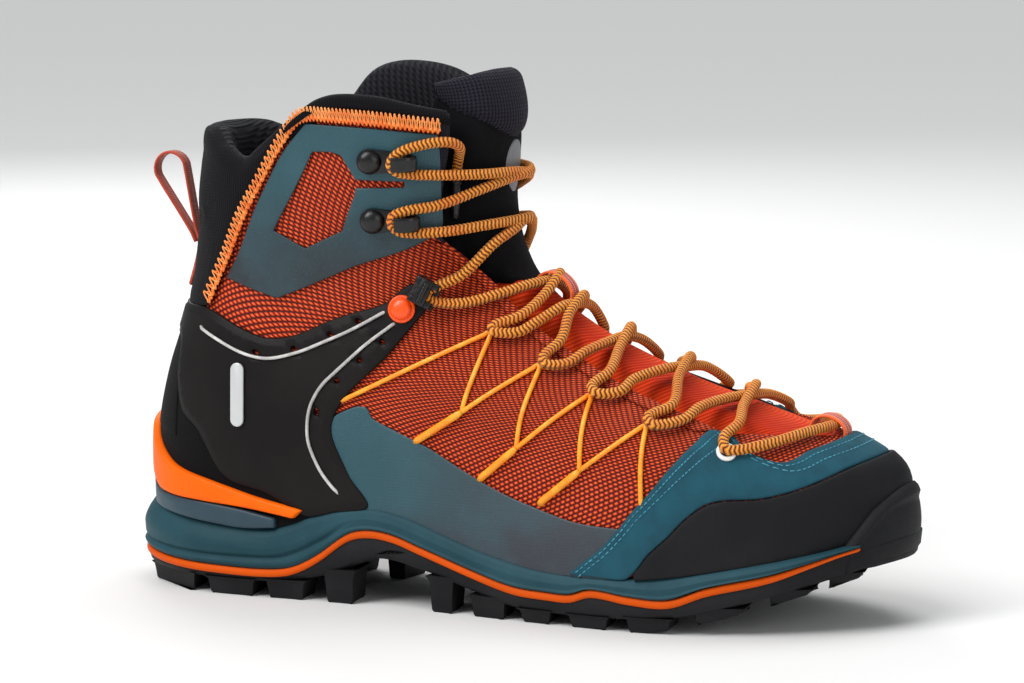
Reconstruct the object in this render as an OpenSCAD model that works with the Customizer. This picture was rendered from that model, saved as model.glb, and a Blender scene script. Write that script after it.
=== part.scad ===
// Mid-height mountaineering boot for the right foot, toe towards +X, outer side towards -Y.
// Every soft layer follows one surface, at(q, z, d): q runs round the foot from 0 at the toe to
// 1 at the heel (negative on the outer side), z is the height, and d is the distance outwards.

/* [Upper] */
// Thickness of the outer fabric
shell_t = 1.5; // [1:0.1:1.6]
// Thickness of the padded lining
lining_t = 2.5; // [1.5:0.1:2.6]
// Thickness of the films and panels laid on the fabric
film_t = 1; // [0.6:0.1:1.2]
// Thickness of the heel cage
cage_t = 1.8; // [1.2:0.1:2.2]
// Thickness of the rubber rand round the toe
rand_t = 2; // [1.2:0.1:2.2]
// Thickness of the tongue at its middle
tongue_t = 9; // [6:0.5:10]

/* [Sole] */
// Thickness of the accent layer between outsole and midsole
stripe_t = 3; // [2:0.25:3.5]
// How far a lug runs in from the sole's edge
lug_in = 17; // [12:1:20]
// Thickness of the lasting board
board_t = 2; // [1.5:0.25:2.5]
// Thickness of the removable footbed
footbed_t = 5; // [3:0.5:6]

/* [Lacing] */
// Diameter of the lace
lace_d = 3.6; // [3:0.1:4]
// Diameter of the thin tension cords
cord_d = 2; // [1.4:0.1:2.2]
// Diameter of the cables on the heel cage
cable_d = 1.6; // [1.2:0.1:1.8]
// Radius of the rivets at the ankle
rivet_r = 3.8; // [3:0.2:4.2]
// Outer radius of the toe eyelets
eyelet_r = 3.4; // [3:0.1:4]
// Width of the pull loop's webbing
web_w = 8; // [6:0.5:10]

/* [Hidden] */
$fn = 32;

// The part's origin, under the middle of the boot, in heel-based coordinates
origin_x = 141.25;
origin_y = 2;
// Small gap between layers that lie on each other
gap = 0.5;
// The same under the parts bonded round the heel, where the surface bends most
heel_gap = 0.9;
// Sign of q and y on the outer and the inner side of the foot
outer = -1;
inner = 1;

// Side profile of the upper: height, then how far the heel and the toe reach
heel_line = [[24, 3], [38, 2], [58, 2], [78, 6], [98, 12.5], [123, 19.5], [143, 21],
    [158, 23], [173, 24], [188, 23], [200, 24]];
toe_line = [[24, 288], [38, 290], [48, 288], [56, 280], [65, 263], [74, 237], [82, 213],
    [90, 194], [98, 177], [108, 161], [118, 150], [128, 144], [138, 141], [148, 140],
    [168, 141], [183, 139], [200, 133]];
// Length over which the plan rounds off at the toe and at the heel, by height
toe_round = [[28, 85], [50, 95], [70, 105], [90, 110], [110, 90], [130, 62], [150, 54], [200, 54]];
heel_round = [[28, 36], [60, 40], [100, 40], [140, 42], [200, 46]];
// Half width of the foot by x on each side, and of the cuff by height
outer_half = [[0, 34], [40, 35], [80, 36], [120, 38], [160, 44], [200, 50], [235, 49], [300, 42]];
inner_half = [[0, 32], [40, 33], [80, 33], [120, 33], [160, 38], [200, 45], [235, 47], [300, 42]];
cuff_half = [[60, 34], [90, 31], [120, 33], [150, 37], [200, 41]];
// The foot's centreline turns inwards at the toe
centre_line = [[0, 0], [120, 0], [200, 3], [300, 10]];
cuff_start = 70;
cuff_full = 125;

// Sole plan: ends and half widths
sole_back = -6;
sole_front = 297;
// How far the blunt toe stands back from the plain outline
toe_set_back = 7;
sole_outer_half = [[-6, 35], [40, 39], [80, 39], [120, 41], [160, 47], [205, 52.5], [240, 51], [300, 43]];
sole_inner_half = [[-6, 33], [40, 37], [80, 35], [120, 34], [160, 40], [205, 49], [240, 50], [300, 45]];
// Heights along the sole: lug bottoms, underside, top of the accent layer, top of the midsole,
// and the hollow that the foot rests in
ground_line = [[-6, 0], [205, 0], [225, 4], [240, 8], [262, 15], [282, 21.5], [300, 26]];
plate_line = [[-6, 6], [30, 5.5], [58, 5.5], [70, 7], [85, 11], [101, 17], [120, 14], [138, 9],
    [157, 4.5], [190, 3.8], [216, 5.5], [240, 11], [263, 18], [283, 24], [300, 28.5]];
stripe_line = [[-6, 14], [15, 12], [40, 11], [58, 11], [68, 12.5], [78, 17.5], [90, 26],
    [98, 28], [108, 27], [119, 23.5], [142, 16.5], [157, 12.8], [170, 12], [179, 12],
    [187, 14.5], [202, 13], [216, 12.8], [229, 17.5], [250, 21], [273, 27.5], [300, 35]];
rim_line = [[0, 31], [15, 29.5], [39, 27], [55, 26], [64, 28], [77, 33], [95, 36.5],
    [110, 35], [126, 30], [146, 24], [169, 20], [202, 20], [221, 22], [257, 28], [280, 33],
    [300, 41]];
floor_line = [[-6, 23], [55, 22], [75, 24], [95, 31], [110, 30], [126, 25.5], [146, 20],
    [169, 16], [202, 16.5], [221, 18.5], [257, 24.5], [280, 31], [300, 38]];

// Upper edge of the collar by |q|, and |q| of the throat's edge by height
collar_line = [[0.2, 176], [0.3, 179], [0.38, 182], [0.46, 182.5], [0.51, 180.5], [0.55, 176.3],
    [0.6, 169.8], [0.64, 164.3], [0.685, 159], [0.76, 162], [0.86, 168], [1, 169]];
// The inner side stands higher over the ankle
collar_line_inner = [[0.2, 176], [0.24, 177.7], [0.3, 182], [0.38, 188], [0.46, 190], [0.53, 189],
    [0.58, 185], [0.63, 176], [0.68, 166], [0.76, 164], [0.86, 168], [1, 169]];
throat_line = [[60, 0.19], [69, 0.2], [100, 0.205], [116, 0.2], [124, 0.225], [133, 0.27],
    [140, 0.26], [176, 0.235]];
cuff_corner_q = 0.235;
throat_toe_z = 67;
// Shares of the way from heel to toe at which the top edge passes the cuff's corner and the toe
corner_u = 0.42;
toe_u = 0.88;
// |q| along the lower edge of the upper, spread so that the columns stay upright
foot_q = [[0, 1], [0.42, 0.55], [0.88, 0.27], [1, 0]];

// Cubic through hand-chosen stations [key, value]
function slope(p, k) =
    let (a = max(k - 1, 0), b = min(k + 1, len(p) - 1))
    (p[b][1] - p[a][1]) / (p[b][0] - p[a][0]);
function curve(p, t) =
    let (k = max([0, for (i = [1:len(p) - 2]) if (t >= p[i][0]) i]),
        h = p[k + 1][0] - p[k][0],
        s = min(max((t - p[k][0]) / h, 0), 1))
    (2 * s ^ 3 - 3 * s ^ 2 + 1) * p[k][1] + (s ^ 3 - 2 * s ^ 2 + s) * h * slope(p, k)
    + (3 * s ^ 2 - 2 * s ^ 3) * p[k + 1][1] + (s ^ 3 - s ^ 2) * h * slope(p, k + 1);
function mix(a, b, t) = a + (b - a) * t;
function clamp(t) = min(max(t, 0), 1);
function ease(a, b, t) = let (s = clamp((t - a) / (b - a))) s * s * (3 - 2 * s);
function unit(v) = v / max(norm(v), 1e-9);

// Point of the foot's surface
function skin(q, z) =
    let (xb = curve(heel_line, z), xf = curve(toe_line, z),
        x = xb + (xf - xb) * (1 + cos(180 * q)) / 2,
        back = clamp((x - xb) / curve(heel_round, z)),
        front = clamp((xf - x) / curve(toe_round, z)),
        round_off = (1 - (1 - back) ^ 2.2) ^ (1 / 2.2) * sqrt(1 - (1 - front) ^ 2),
        foot = curve(sin(180 * q) < 0 ? outer_half : inner_half, x),
        half = mix(foot, curve(cuff_half, z), ease(cuff_start, cuff_full, z)))
    [x - toe_set_back * ease(245, 290, x) * (1 - ease(42, 60, z)),
        curve(centre_line, x) + half * round_off * (sin(180 * q) < 0 ? outer : inner), z];
function normal(q, z) =
    let (dq = 0.001, dz = 0.2)
    unit(cross(skin(q + dq, z) - skin(q - dq, z), skin(q, z + dz) - skin(q, z - dz)));
function at(q, z, d) = skin(q, z) + normal(q, z) * d;
// |q| of the point at x and z
function q_at(x, z) =
    let (xb = curve(heel_line, z), xf = curve(toe_line, z))
    acos(min(max(2 * (x - xb) / (xf - xb) - 1, -1), 1)) / 180;
// Distance from the toe either way round: q above 1 has gone past the heel to the outer side
function fold(q) = q > 1 ? 2 - q : abs(q);
function ground(x) = max(curve(ground_line, x), 0);
function foot_x(q) = 2 + 287 * (1 + cos(180 * q)) / 2;
function rim_z(q) = curve(rim_line, foot_x(q));

// Closed sheet between two grids of points, outside and inside, with the columns running
// towards greater q and the rows upwards
function sheet_faces(nu, nv, wrap) =
    let (n = nu * nv, last = wrap ? nu - 1 : nu - 2, top = nv - 1, end = nu - 1)
    [
        for (i = [0:last]) let (a = i * nv, b = (i + 1) % nu * nv) each [
            for (j = [0:nv - 2]) each [
                [a + j, a + j + 1, b + j + 1],
                [a + j, b + j + 1, b + j],
                [n + a + j, n + b + j + 1, n + a + j + 1],
                [n + a + j, n + b + j, n + b + j + 1]
            ],
            [a, b, n + b],
            [a, n + b, n + a],
            [b + top, a + top, n + a + top],
            [b + top, n + a + top, n + b + top]
        ],
        if (!wrap) for (j = [0:nv - 2]) let (e = end * nv + j) each [
            [j + 1, j, n + j],
            [j + 1, n + j, n + j + 1],
            [e, e + 1, n + e + 1],
            [e, n + e + 1, n + e]
        ]
    ];
module sheet(outside, inside, wrap = false) {
    points = concat([for (column = outside) each column], [for (column = inside) each column]);
    polyhedron(points, sheet_faces(len(outside), len(outside[0]), wrap));
}
// Patch of the surface between a lower and an upper edge, each a list of [q, z]
module patch(low, high, d0, d1, rows) {
    function grid(d) = [
        for (i = [0:len(low) - 1]) [
            for (j = [0:rows]) let (p = mix(low[i], high[i], j / rows)) at(p[0], p[1], d)
        ]
    ];
    sheet(grid(d1), grid(d0));
}
// An edge that runs on from one side to the other, past the toe or past the heel
function past_toe(edge) = concat(edge, [for (i = [len(edge) - 2:-1:0]) [-edge[i][0], edge[i][1]]]);
function past_heel(edge) =
    concat([for (e = edge) [e[0], e[1]]], [for (i = [len(edge) - 2:-1:0]) [2 - edge[i][0], edge[i][1]]]);
// An edge given as [x, z], as [q, z] on one side
function side_edge(points, side) =
    let (e = [for (p = points) [side * q_at(p[0], p[1]), p[1]]])
    side < 0 ? e : [for (i = [len(e) - 1:-1:0]) e[i]];

// Solid between loops that are stacked upwards, closed by strips from side to side
module stack(loops) {
    m = len(loops[0]);
    n = len(loops);
    top = n - 1;
    points = [for (loop = loops) each loop];
    sides = [
        for (k = [0:m - 1]) for (l = [0:n - 2])
            let (a = l * m + k, b = l * m + (k + 1) % m) each [[a, a + m, b + m], [a, b + m, b]]
    ];
    caps = [
        for (k = [0:m / 2 - 1]) let (a = k, b = k + 1, c = m - k - 1, d = (m - k) % m) each [
            if (c != b) [a, b, c],
            if (d != a) c == b ? [a, b, d] : [a, c, d],
            if (c != b) [top * m + b, top * m + a, top * m + c],
            if (d != a) c == b ? [top * m + b, top * m + a, top * m + d]
                : [top * m + a, top * m + d, top * m + c]
        ]
    ];
    polyhedron(points, concat(sides, caps));
}
loop_n = 60;
loop_q = [for (k = [0:loop_n - 1]) -1 + 2 * k / loop_n];
// Outline of the sole, inset from its edge
function sole_at(q, inset, z_line, lift = 0) =
    let (x0 = sole_back + inset, x1 = sole_front - inset,
        x = x0 + (x1 - x0) * (1 + cos(180 * q)) / 2,
        back = clamp((x - x0) / 42),
        front = clamp((x1 - x) / 85),
        round_off = ((1 - (1 - back) ^ 2.3) * (1 - (1 - front) ^ 2.2)) ^ (1 / 2.2),
        half = curve(sin(180 * q) < 0 ? sole_outer_half : sole_inner_half, x) - inset,
        back_x = x - toe_set_back * ease(245, sole_front, x))
    [back_x, curve(centre_line, x) + half * round_off * (sin(180 * q) < 0 ? outer : inner),
        curve(z_line, back_x) + lift];
function sole_loop(inset, z_line, lift = 0) = [for (q = loop_q) sole_at(q, inset, z_line, lift)];
function foot_loop(d, z_line, lift = 0) =
    [for (q = loop_q) let (z = curve(z_line, foot_x(q)) + lift, p = at(q, max(z, 26), d)) [p[0], p[1], z]];

// Tube through points, with straight stretches between its rings
function side_way(t) = unit(cross(t, abs(t[2]) > 0.9 ? [1, 0, 0] : [0, 0, 1]));
function carried(u, t) = unit(u - (u * t) * t);
module tube(route, d, sides = 8) {
    last = len(route) - 1;
    along = [for (i = [0:last]) unit(route[min(i + 1, last)] - route[max(i - 1, 0)])];
    ways = [
        for (i = 0, u = side_way(along[0]); i <= last;
            i = i + 1, u = i <= last ? carried(u, along[i]) : u) u
    ];
    rings = [
        for (i = [0:last]) for (k = [0:sides - 1])
            let (a = 360 * k / sides)
            route[i] + d / 2 * (cos(a) * ways[i] + sin(a) * cross(along[i], ways[i]))
    ];
    walls = [
        for (i = [0:last - 1]) for (k = [0:sides - 1])
            let (a = i * sides + k, b = i * sides + (k + 1) % sides)
            each [[a, a + sides, b + sides], [a, b + sides, b]]
    ];
    ends = [
        for (k = [1:sides - 2]) each [
            [0, k, k + 1],
            [last * sides, last * sides + k + 1, last * sides + k]
        ]
    ];
    polyhedron(rings, concat(walls, ends));
}
// Puts a child on the surface with its +Z outwards and its +X turned by spin in the surface
module mounted(q, z, d = 0, spin = 0) {
    n = normal(q, z);
    translate(at(q, z, d))
        rotate([0, acos(n[2]), atan2(n[1], n[0])])
            rotate([0, 0, spin])
                children();
}
module place() {
    translate([-origin_x, -origin_y, 0])
        children();
}
// Draws a node's faceted shapes joined into one closed mesh
module fused() {
    resize([0, 0, 0])
        children();
}

// ---- Sole ----

// Lug between two stations along one side, standing on the ground
lug_spans = [[2, 27], [33, 52], [57, 72], [80, 92], [122, 132], [139, 153], [159, 171],
    [178, 193], [200, 216], [224, 240], [248, 261], [266, 276]];
function edge_y(x, side, inset) =
    let (x0 = sole_back + inset, x1 = sole_front - toe_set_back - inset,
        round_off = ((1 - (1 - clamp((x - x0) / 42)) ^ 2.3)
            * (1 - (1 - clamp((x1 - x) / 85)) ^ 2.2)) ^ (1 / 2.2))
    curve(centre_line, x)
    + side * round_off * (curve(side < 0 ? sole_outer_half : sole_inner_half, x) - inset);
module lug_between(x0, x1, y0, y1, low_inset, top) {
    // y0 is the outer end of the lug and y1 the inner one, each a pair for x0 and x1
    dip = ground((x0 + x1) / 2);
    toward = sign(y1[0] - y0[0]);
    lower = [
        [x0 + 1, y0[0] + toward * low_inset, ground(x0 + 1)],
        [x1 - 1, y0[1] + toward * low_inset, ground(x1 - 1)],
        [x1 - 3, y1[1] - toward, ground(x1 - 3)],
        [x0 + 3, y1[0] - toward, ground(x0 + 3)]
    ];
    upper = [
        [x0, y0[0], dip + top],
        [x1, y0[1], dip + top],
        [x1 - 2, y1[1], dip + top],
        [x0 + 2, y1[0], dip + top]
    ];
    ring = toward > 0 ? [0, 1, 2, 3] : [3, 2, 1, 0];
    points = [for (k = ring) lower[k], for (k = ring) upper[k]];
    polyhedron(points, [
        [0, 1, 2], [0, 2, 3], [4, 6, 5], [4, 7, 6],
        for (k = [0:3]) let (n = (k + 1) % 4) each [[k, k + 4, n + 4], [k, n + 4, n]]
    ]);
}
module side_lugs(side) {
    for (s = lug_spans) {
        top = curve(plate_line, (s[0] + s[1]) / 2) - ground((s[0] + s[1]) / 2) + 1.2;
        y0 = [edge_y(s[0], side, 3.6), edge_y(s[1], side, 3.6)];
        y1 = [for (y = y0) y - side * min(lug_in, 0.7 * abs(y))];
        lug_between(s[0], s[1], y0, y1, 1.2, top);
    }
}
middle_lugs = [[14, 30], [40, 54], [146, 160], [166, 180], [186, 200], [206, 220], [226, 240]];
module middle_lug(span) {
    top = curve(plate_line, (span[0] + span[1]) / 2) - ground((span[0] + span[1]) / 2) + 1.2;
    y = curve(centre_line, span[0]);
    lug_between(span[0], span[1], [y - 10, y - 7], [y + 10, y + 7], 1, top);
}
bumper_q = 0.15;
bumper_n = 12;
// Band round the toe, from the outsole's edge up over the rand; its height falls off sideways
module bumper(d0, low, high, thick) {
    function bumper_at(i, j, d) =
        let (q = bumper_q * (2 * i / bumper_n - 1),
            side = abs(q) / bumper_q,
            bottom = low - 3.6 * side ^ 2,
            top = mix(high, 31, side ^ 2.6))
        at(q, mix(bottom, top, j / 4), d);
    outside = [
        for (i = [0:bumper_n]) [for (j = [0:4]) bumper_at(i, j, d0 + thick * (1 - (j / 4) ^ 3 * 0.7))]
    ];
    inside = [for (i = [0:bumper_n]) [for (j = [0:4]) bumper_at(i, j, d0)]];
    sheet(outside, inside);
}
module outsole() {
    color([0.13, 0.13, 0.14]) place() fused() {
        stack([
            sole_loop(8, plate_line),
            sole_loop(3, plate_line, 1.2),
            sole_loop(1.6, stripe_line, -stripe_t)
        ]);
        side_lugs(outer);
        side_lugs(inner);
        for (span = middle_lugs) middle_lug(span);
        bumper(gap + rand_t + 0.4, 26.6, 49.5, 3.6);
    }
}
// Space in front of the toe that the outsole's bumper fills
module bumper_space() {
    bumper(gap + rand_t + 0.2, 16, 60, 14);
}
module accent_stripe() {
    color([1, 0.3, 0]) place() fused() difference() {
        stack([
            sole_loop(1.6, stripe_line, -stripe_t),
            sole_loop(0.8, stripe_line, -stripe_t / 2),
            sole_loop(1.6, stripe_line)
        ]);
        bumper_space();
    }
}
shank_x = [52, 168];
shank_half = 11;
// Strip along the arch between two heights above the floor, longer and wider by grow
module shank_strip(top, bottom, grow = 0) {
    steps = 12;
    function strip(z_lift) = [
        for (i = [0:steps])
            let (x = mix(shank_x[0] - grow, shank_x[1] + grow, i / steps), z = curve(floor_line, x))
            [for (s = [-1, 1]) [x, s * (shank_half + grow), z + z_lift]]
    ];
    sheet(strip(top), strip(bottom));
}
module shank() {
    color([0.6, 0.62, 0.65]) place() shank_strip(-1.2, -2.6);
}
module midsole() {
    color([0.22, 0.38, 0.42]) place() fused() difference() {
        stack([
            sole_loop(1.6, stripe_line),
            sole_loop(0, stripe_line, 3),
            [for (k = [0:loop_n - 1])
                let (a = sole_at(loop_q[k], 0.6, stripe_line), b = sole_at(loop_q[k], 0.6, rim_line))
                [a[0], a[1], max(mix(a[2], b[2], 0.55), a[2] + 3.5)]],
            sole_loop(2.4, rim_line, -0.4),
            foot_loop(-3, rim_line, -0.1),
            foot_loop(-5, floor_line, 0)
        ]);
        bumper_space();
        shank_strip(2, -2.9, 0.3);
    }
}
module lasting_board() {
    color([0.75, 0.7, 0.6]) place()
        stack([foot_loop(-6.4, floor_line, 0.2), foot_loop(-6.4, floor_line, 0.2 + board_t)]);
}
module footbed() {
    color([0.3, 0.3, 0.33]) place() stack([
        foot_loop(-9.4, floor_line, 0.6 + board_t),
        foot_loop(-8.6, floor_line, 1.6 + board_t),
        foot_loop(-8.4, floor_line, 0.6 + board_t + footbed_t),
        foot_loop(-10.5, floor_line, 0.6 + board_t + footbed_t),
        foot_loop(-17, floor_line, 0.1 + board_t + footbed_t / 2)
    ]);
}
// Dark band and bright insert that wrap the heel above the midsole
cradle_top = [[0.7, 30], [0.74, 32.5], [0.78, 34], [0.84, 35], [0.9, 37], [0.95, 47], [1, 51]];
insert_top = [[0.67, 33.5], [0.72, 37], [0.78, 42], [0.84, 46], [0.88, 51], [0.94, 59], [1, 62]];
module heel_cradle() {
    edge = past_heel(cradle_top);
    color([0.1, 0.2, 0.27]) place()
        patch([for (e = edge) [e[0], rim_z(e[0]) + 0.2]], [for (e = edge) [e[0], e[1] - 0.2]],
            heel_gap, heel_gap + 2, 3);
}
module heel_insert() {
    low = [for (i = [0:len(cradle_top) - 1]) [insert_top[i][0] + 0.01, cradle_top[i][1] + 0.2]];
    color([1, 0.48, 0]) place()
        patch(past_heel(low), past_heel(insert_top), heel_gap, heel_gap + 2.6, 3);
}

// ---- Upper ----

function top_edge(u, side) =
    u <= corner_u ? let (a = mix(1, cuff_corner_q, u / corner_u))
        [a, curve(side == inner ? collar_line_inner : collar_line, a) - 7]
    : u <= toe_u ? let (z0 = curve(collar_line, cuff_corner_q) - 7,
            z = mix(z0, throat_toe_z + 2, ((u - corner_u) / (toe_u - corner_u)) ^ 0.9))
        [curve(throat_line, z), z]
    : [mix(curve(throat_line, throat_toe_z + 2), 0, (u - toe_u) / (1 - toe_u)),
        mix(throat_toe_z + 2, 65.5, (u - toe_u) / (1 - toe_u))];
upper_n = 33;
// Grid of the whole upper at distance d, from share v0 to v1 of its height
function upper_grid(d, rows, v0, v1, n = upper_n) = [
    for (k = [0:2 * n - 1])
        let (u = k <= n ? k / n : 2 - k / n, side = k <= n ? outer : inner,
            a = lookup(u, foot_q), low = [a, rim_z(a) + 0.5], high = top_edge(u, side))
        [for (j = [0:rows]) let (p = mix(low, high, mix(v0, v1, j / rows))) at(side * p[0], p[1], d)]
];
module upper_shell() {
    color([0.78, 0.27, 0.15]) place()
        sheet(upper_grid(0, 10, 0, 1), upper_grid(-shell_t, 10, 0, 1), true);
}
lining_d = -3.2;
module lining() {
    color([0.16, 0.16, 0.17]) place()
        sheet(upper_grid(lining_d, 8, 0.02, 0.97), upper_grid(lining_d - lining_t, 8, 0.02, 0.97), true);
}
module toe_puff() {
    qs = [for (i = [0:12]) mix(-0.25, 0.25, i / 12)];
    color([0.55, 0.5, 0.42]) place()
        patch([for (q = qs) [q, rim_z(q) + 7]], [for (q = qs) [q, 58 - 60 * abs(q)]], -2.9, -2.25, 4);
}
module heel_counter() {
    qs = [for (i = [0:16]) mix(0.7, 1.3, i / 16)];
    color([0.55, 0.5, 0.42]) place()
        patch([for (q = qs) [q, rim_z(fold(q)) + 3]], [for (q = qs) [q, 84 - 60 * abs(q - 1)]], -2.9, -2, 4);
}
// Lower edge of the padded collar by |q|
collar_low = [[0.235, 171], [0.3, 174.5], [0.38, 177], [0.46, 178], [0.51, 175], [0.56, 165],
    [0.62, 151], [0.68, 138], [0.74, 123], [0.78, 108], [0.84, 107], [0.92, 107], [1, 107]];
collar_n = 44;
module collar_pad() {
    function section(q) =
        let (a = fold(q), zt = curve(q < 1 ? collar_line_inner : collar_line, a),
            zl = min(lookup(a, collar_low), zt - 4), seam = zt - 6.4)
        [[gap, zl], [2, zl + 0.5], [3.2, mix(zl, zt, 0.5)], [2.6, zt - 2.5], [-2, zt + 1],
            [-7, zt - 1.5], [-8.6, zt - 8], [-8, zt - 17], [-6.2, zt - 17], [-6.2, seam], [gap, seam]];
    columns = [for (i = [0:collar_n]) mix(cuff_corner_q, 2 - cuff_corner_q, i / collar_n)];
    rings = [for (q = columns) [for (p = section(q)) at(q, p[1], p[0])]];
    m = len(rings[0]);
    last = len(rings) - 1;
    walls = [
        for (i = [0:last - 1]) for (k = [0:m - 1])
            let (a = i * m + k, b = i * m + (k + 1) % m) each [[a, b, b + m], [a, b + m, a + m]]
    ];
    // each end is closed in strips across the folded section
    strips = [[0, 1, 10], [1, 2, 10], [2, 3, 10], [3, 4, 10], [4, 9, 10], [4, 5, 9], [5, 6, 9],
        [6, 8, 9], [6, 7, 8]];
    ends = [for (f = strips) each [[f[2], f[1], f[0]], [last * m + f[0], last * m + f[1], last * m + f[2]]]];
    color([0.1, 0.1, 0.11]) place()
        polyhedron([for (ring = rings) each ring], concat(walls, ends));
}
module backstay() {
    low = past_heel([[0.87, 62], [0.91, 62], [0.95, 62], [1, 63]]);
    mid = past_heel([[0.87, 90], [0.91, 91], [0.95, 91.5], [1, 92]]);
    color([0.08, 0.08, 0.09]) place()
        patch(low, mid, gap, gap + film_t, 4);
}

// ---- Tongue ----

hinge_z = 116;
corner_drop = 24;
// Share of the way to the middle: 1 on the crest, 0 where the tongue lies under the upper
function crest(q, flat, edge) = 1 - ease(flat, edge, abs(q));
// low_rise lifts the lower edge at the sides, so that the fold has room there; the sides lie
// side_deep under the surface at the top, and the upper corners are round
module tongue_sheet(z0, z1, rows, thick, edges, roll, low_rise, side_deep) {
    n = 14;
    half_q = 0.3;
    function tongue_at(i, j, face) =
        let (s = 2 * i / n - 1,
            z = mix(z0 + low_rise * s ^ 2, z1 - corner_drop * roll * s ^ 2, j / rows),
            q = s * half_q * (1 - 1.5 * roll * ease(0.55, 1, j / rows)),
            k = crest(q, edges[0], edges[1]),
            end = ease(1, 1 - roll, j / rows),
            deep = mix(7.4, side_deep, ease(140, 156, z)),
            d_out = mix(-deep, -1.6, k) - 2.5 * (1 - end),
            t = mix(3, thick, k) * mix(0.4, 1, end))
        at(q, z, d_out - face * t);
    sheet([for (i = [0:n]) [for (j = [0:rows]) tongue_at(i, j, 0)]],
        [for (i = [0:n]) [for (j = [0:rows]) tongue_at(i, j, 1)]]);
}
module tongue_lower() {
    color([1, 0.33, 0.05]) place()
        tongue_sheet(66, hinge_z - 2.5, 7, 3.6, [0.105, 0.195], 0.01, 8, 7.4);
}
module tongue_top() {
    color([0.1, 0.1, 0.11]) place()
        tongue_sheet(hinge_z + 1, 193, 11, tongue_t, [0.12, 0.225], 0.16, 9, 10.2);
}
module tongue_patch() {
    color([0.35, 0.36, 0.38]) place()
        patch([for (i = [0:4]) [mix(-0.07, 0.07, i / 4), 152]],
            [for (i = [0:4]) [mix(-0.07, 0.07, i / 4), 168]], -1.1, -0.4, 3);
}

// ---- Panels on the upper ----

rand_top = [[-0.385, 24], [-0.37, 25.5], [-0.355, 28], [-0.344, 32.5], [-0.33, 39], [-0.311, 45],
    [-0.292, 47.2], [-0.255, 47.8], [-0.217, 50], [-0.175, 53], [-0.12, 56.3], [-0.06, 58], [0, 58.5]];
module toe_rand() {
    edge = past_toe(rand_top);
    color([0.12, 0.12, 0.13]) place()
        patch([for (e = edge) [e[0], curve(rim_line, foot_x(e[0]) + 3) + 0.5]],
            [for (e = edge) [e[0], e[1] - 0.2]], gap, gap + rand_t, 5);
}
overlay_top = [[-0.41, 25], [-0.398, 29], [-0.384, 36], [-0.368, 44], [-0.335, 54], [-0.29, 62],
    [-0.24, 67.5], [-0.213, 69.5], [-0.216, 63], [-0.2, 59.3], [-0.14, 62.4], [-0.07, 64.3], [0, 65]];
module toe_overlay() {
    color([0.09, 0.36, 0.45]) place()
        patch(past_toe([for (e = rand_top) [e[0], e[1] + 0.2]]), past_toe(overlay_top),
            gap, gap + film_t, 3);
}
film_high = [[87, 69], [92, 72], [99, 71], [109, 66], [123, 61], [135, 53], [151, 46], [167, 41],
    [179, 38], [186, 37], [190, 36.5]];
film_low = [[86, 62], [90, 50], [103, 38.5], [113, 36], [126, 31.5], [139, 28], [152, 25], [164, 23],
    [173, 22.5], [178, 22.5], [181, 22.5]];
module side_film(side) {
    patch(side_edge(film_low, side), side_edge(film_high, side), gap, gap + film_t, 3);
}
module side_film_outer() {
    color([0.2, 0.36, 0.42]) place() side_film(outer);
}
module side_film_inner() {
    color([0.2, 0.36, 0.42]) place() side_film(inner);
}
// Ankle panel: corners of its outline and of its window, as [x, z], in pairs
panel_edge = [[40, 115], [57.8, 145], [76.4, 170], [98, 170], [119, 167], [120, 150], [118, 134],
    [89, 121], [60, 110]];
panel_window = [[61, 134], [69, 147], [78, 163], [85, 163], [89, 162], [94, 153], [93, 147],
    [88, 135], [73, 128]];
module ankle_panel(side) {
    count = len(panel_edge);
    fine = 3;
    function closed(corners) = [
        for (i = [0:count - 1]) for (k = [0:fine - 1])
            mix(corners[i], corners[(i + 1) % count], k / fine)
    ];
    rim = closed(panel_edge);
    hole = closed(panel_window);
    function grid(d) = [
        for (i = [0:len(rim) - 1]) let (k = side < 0 ? i : len(rim) - 1 - i) [
            for (j = [0:2])
                let (p = mix(hole[k], rim[k], j / 2)) at(side * q_at(p[0], p[1]), p[1], d)
        ]
    ];
    sheet(grid(gap + film_t), grid(gap), true);
}
module ankle_panel_outer() {
    color([0.2, 0.36, 0.42]) place() ankle_panel(outer);
}
module ankle_panel_inner() {
    color([0.2, 0.36, 0.42]) place() ankle_panel(inner);
}
// Heel cage: upper and lower edge from the ankle round to the back of the heel, as [|q|, z]
cage_high = [[0.335, 116], [0.372, 116], [0.435, 109], [0.5, 105], [0.542, 102], [0.58, 98.5],
    [0.62, 95.5], [0.66, 95], [0.7, 98], [0.735, 101], [0.767, 103], [0.8, 104], [0.835, 104],
    [0.88, 104], [0.94, 104.5], [1, 104.5]];
cage_low = [[0.34, 111], [0.41, 102], [0.53, 84], [0.59, 74], [0.626, 63], [0.624, 48],
    [0.61, 39.5], [0.665, 35.5], [0.71, 38.5], [0.76, 43.5], [0.795, 60], [0.825, 66], [0.845, 78],
    [0.865, 90], [0.93, 92.5], [1, 93]];
module heel_cage() {
    color([0.07, 0.065, 0.06]) place()
        patch(past_heel(cage_low), past_heel(cage_high), heel_gap, heel_gap + cage_t, 6);
}
cage_face = heel_gap + cage_t;
module heel_reflectors() {
    color([0.8, 0.81, 0.82]) place() for (side = [outer, inner])
        mounted(side * 0.72, 74, cage_face + 0.35, 0)
            linear_extrude(0.6) hull() for (s = [-9, 9]) translate([s, 0]) circle(2.6);
}
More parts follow.
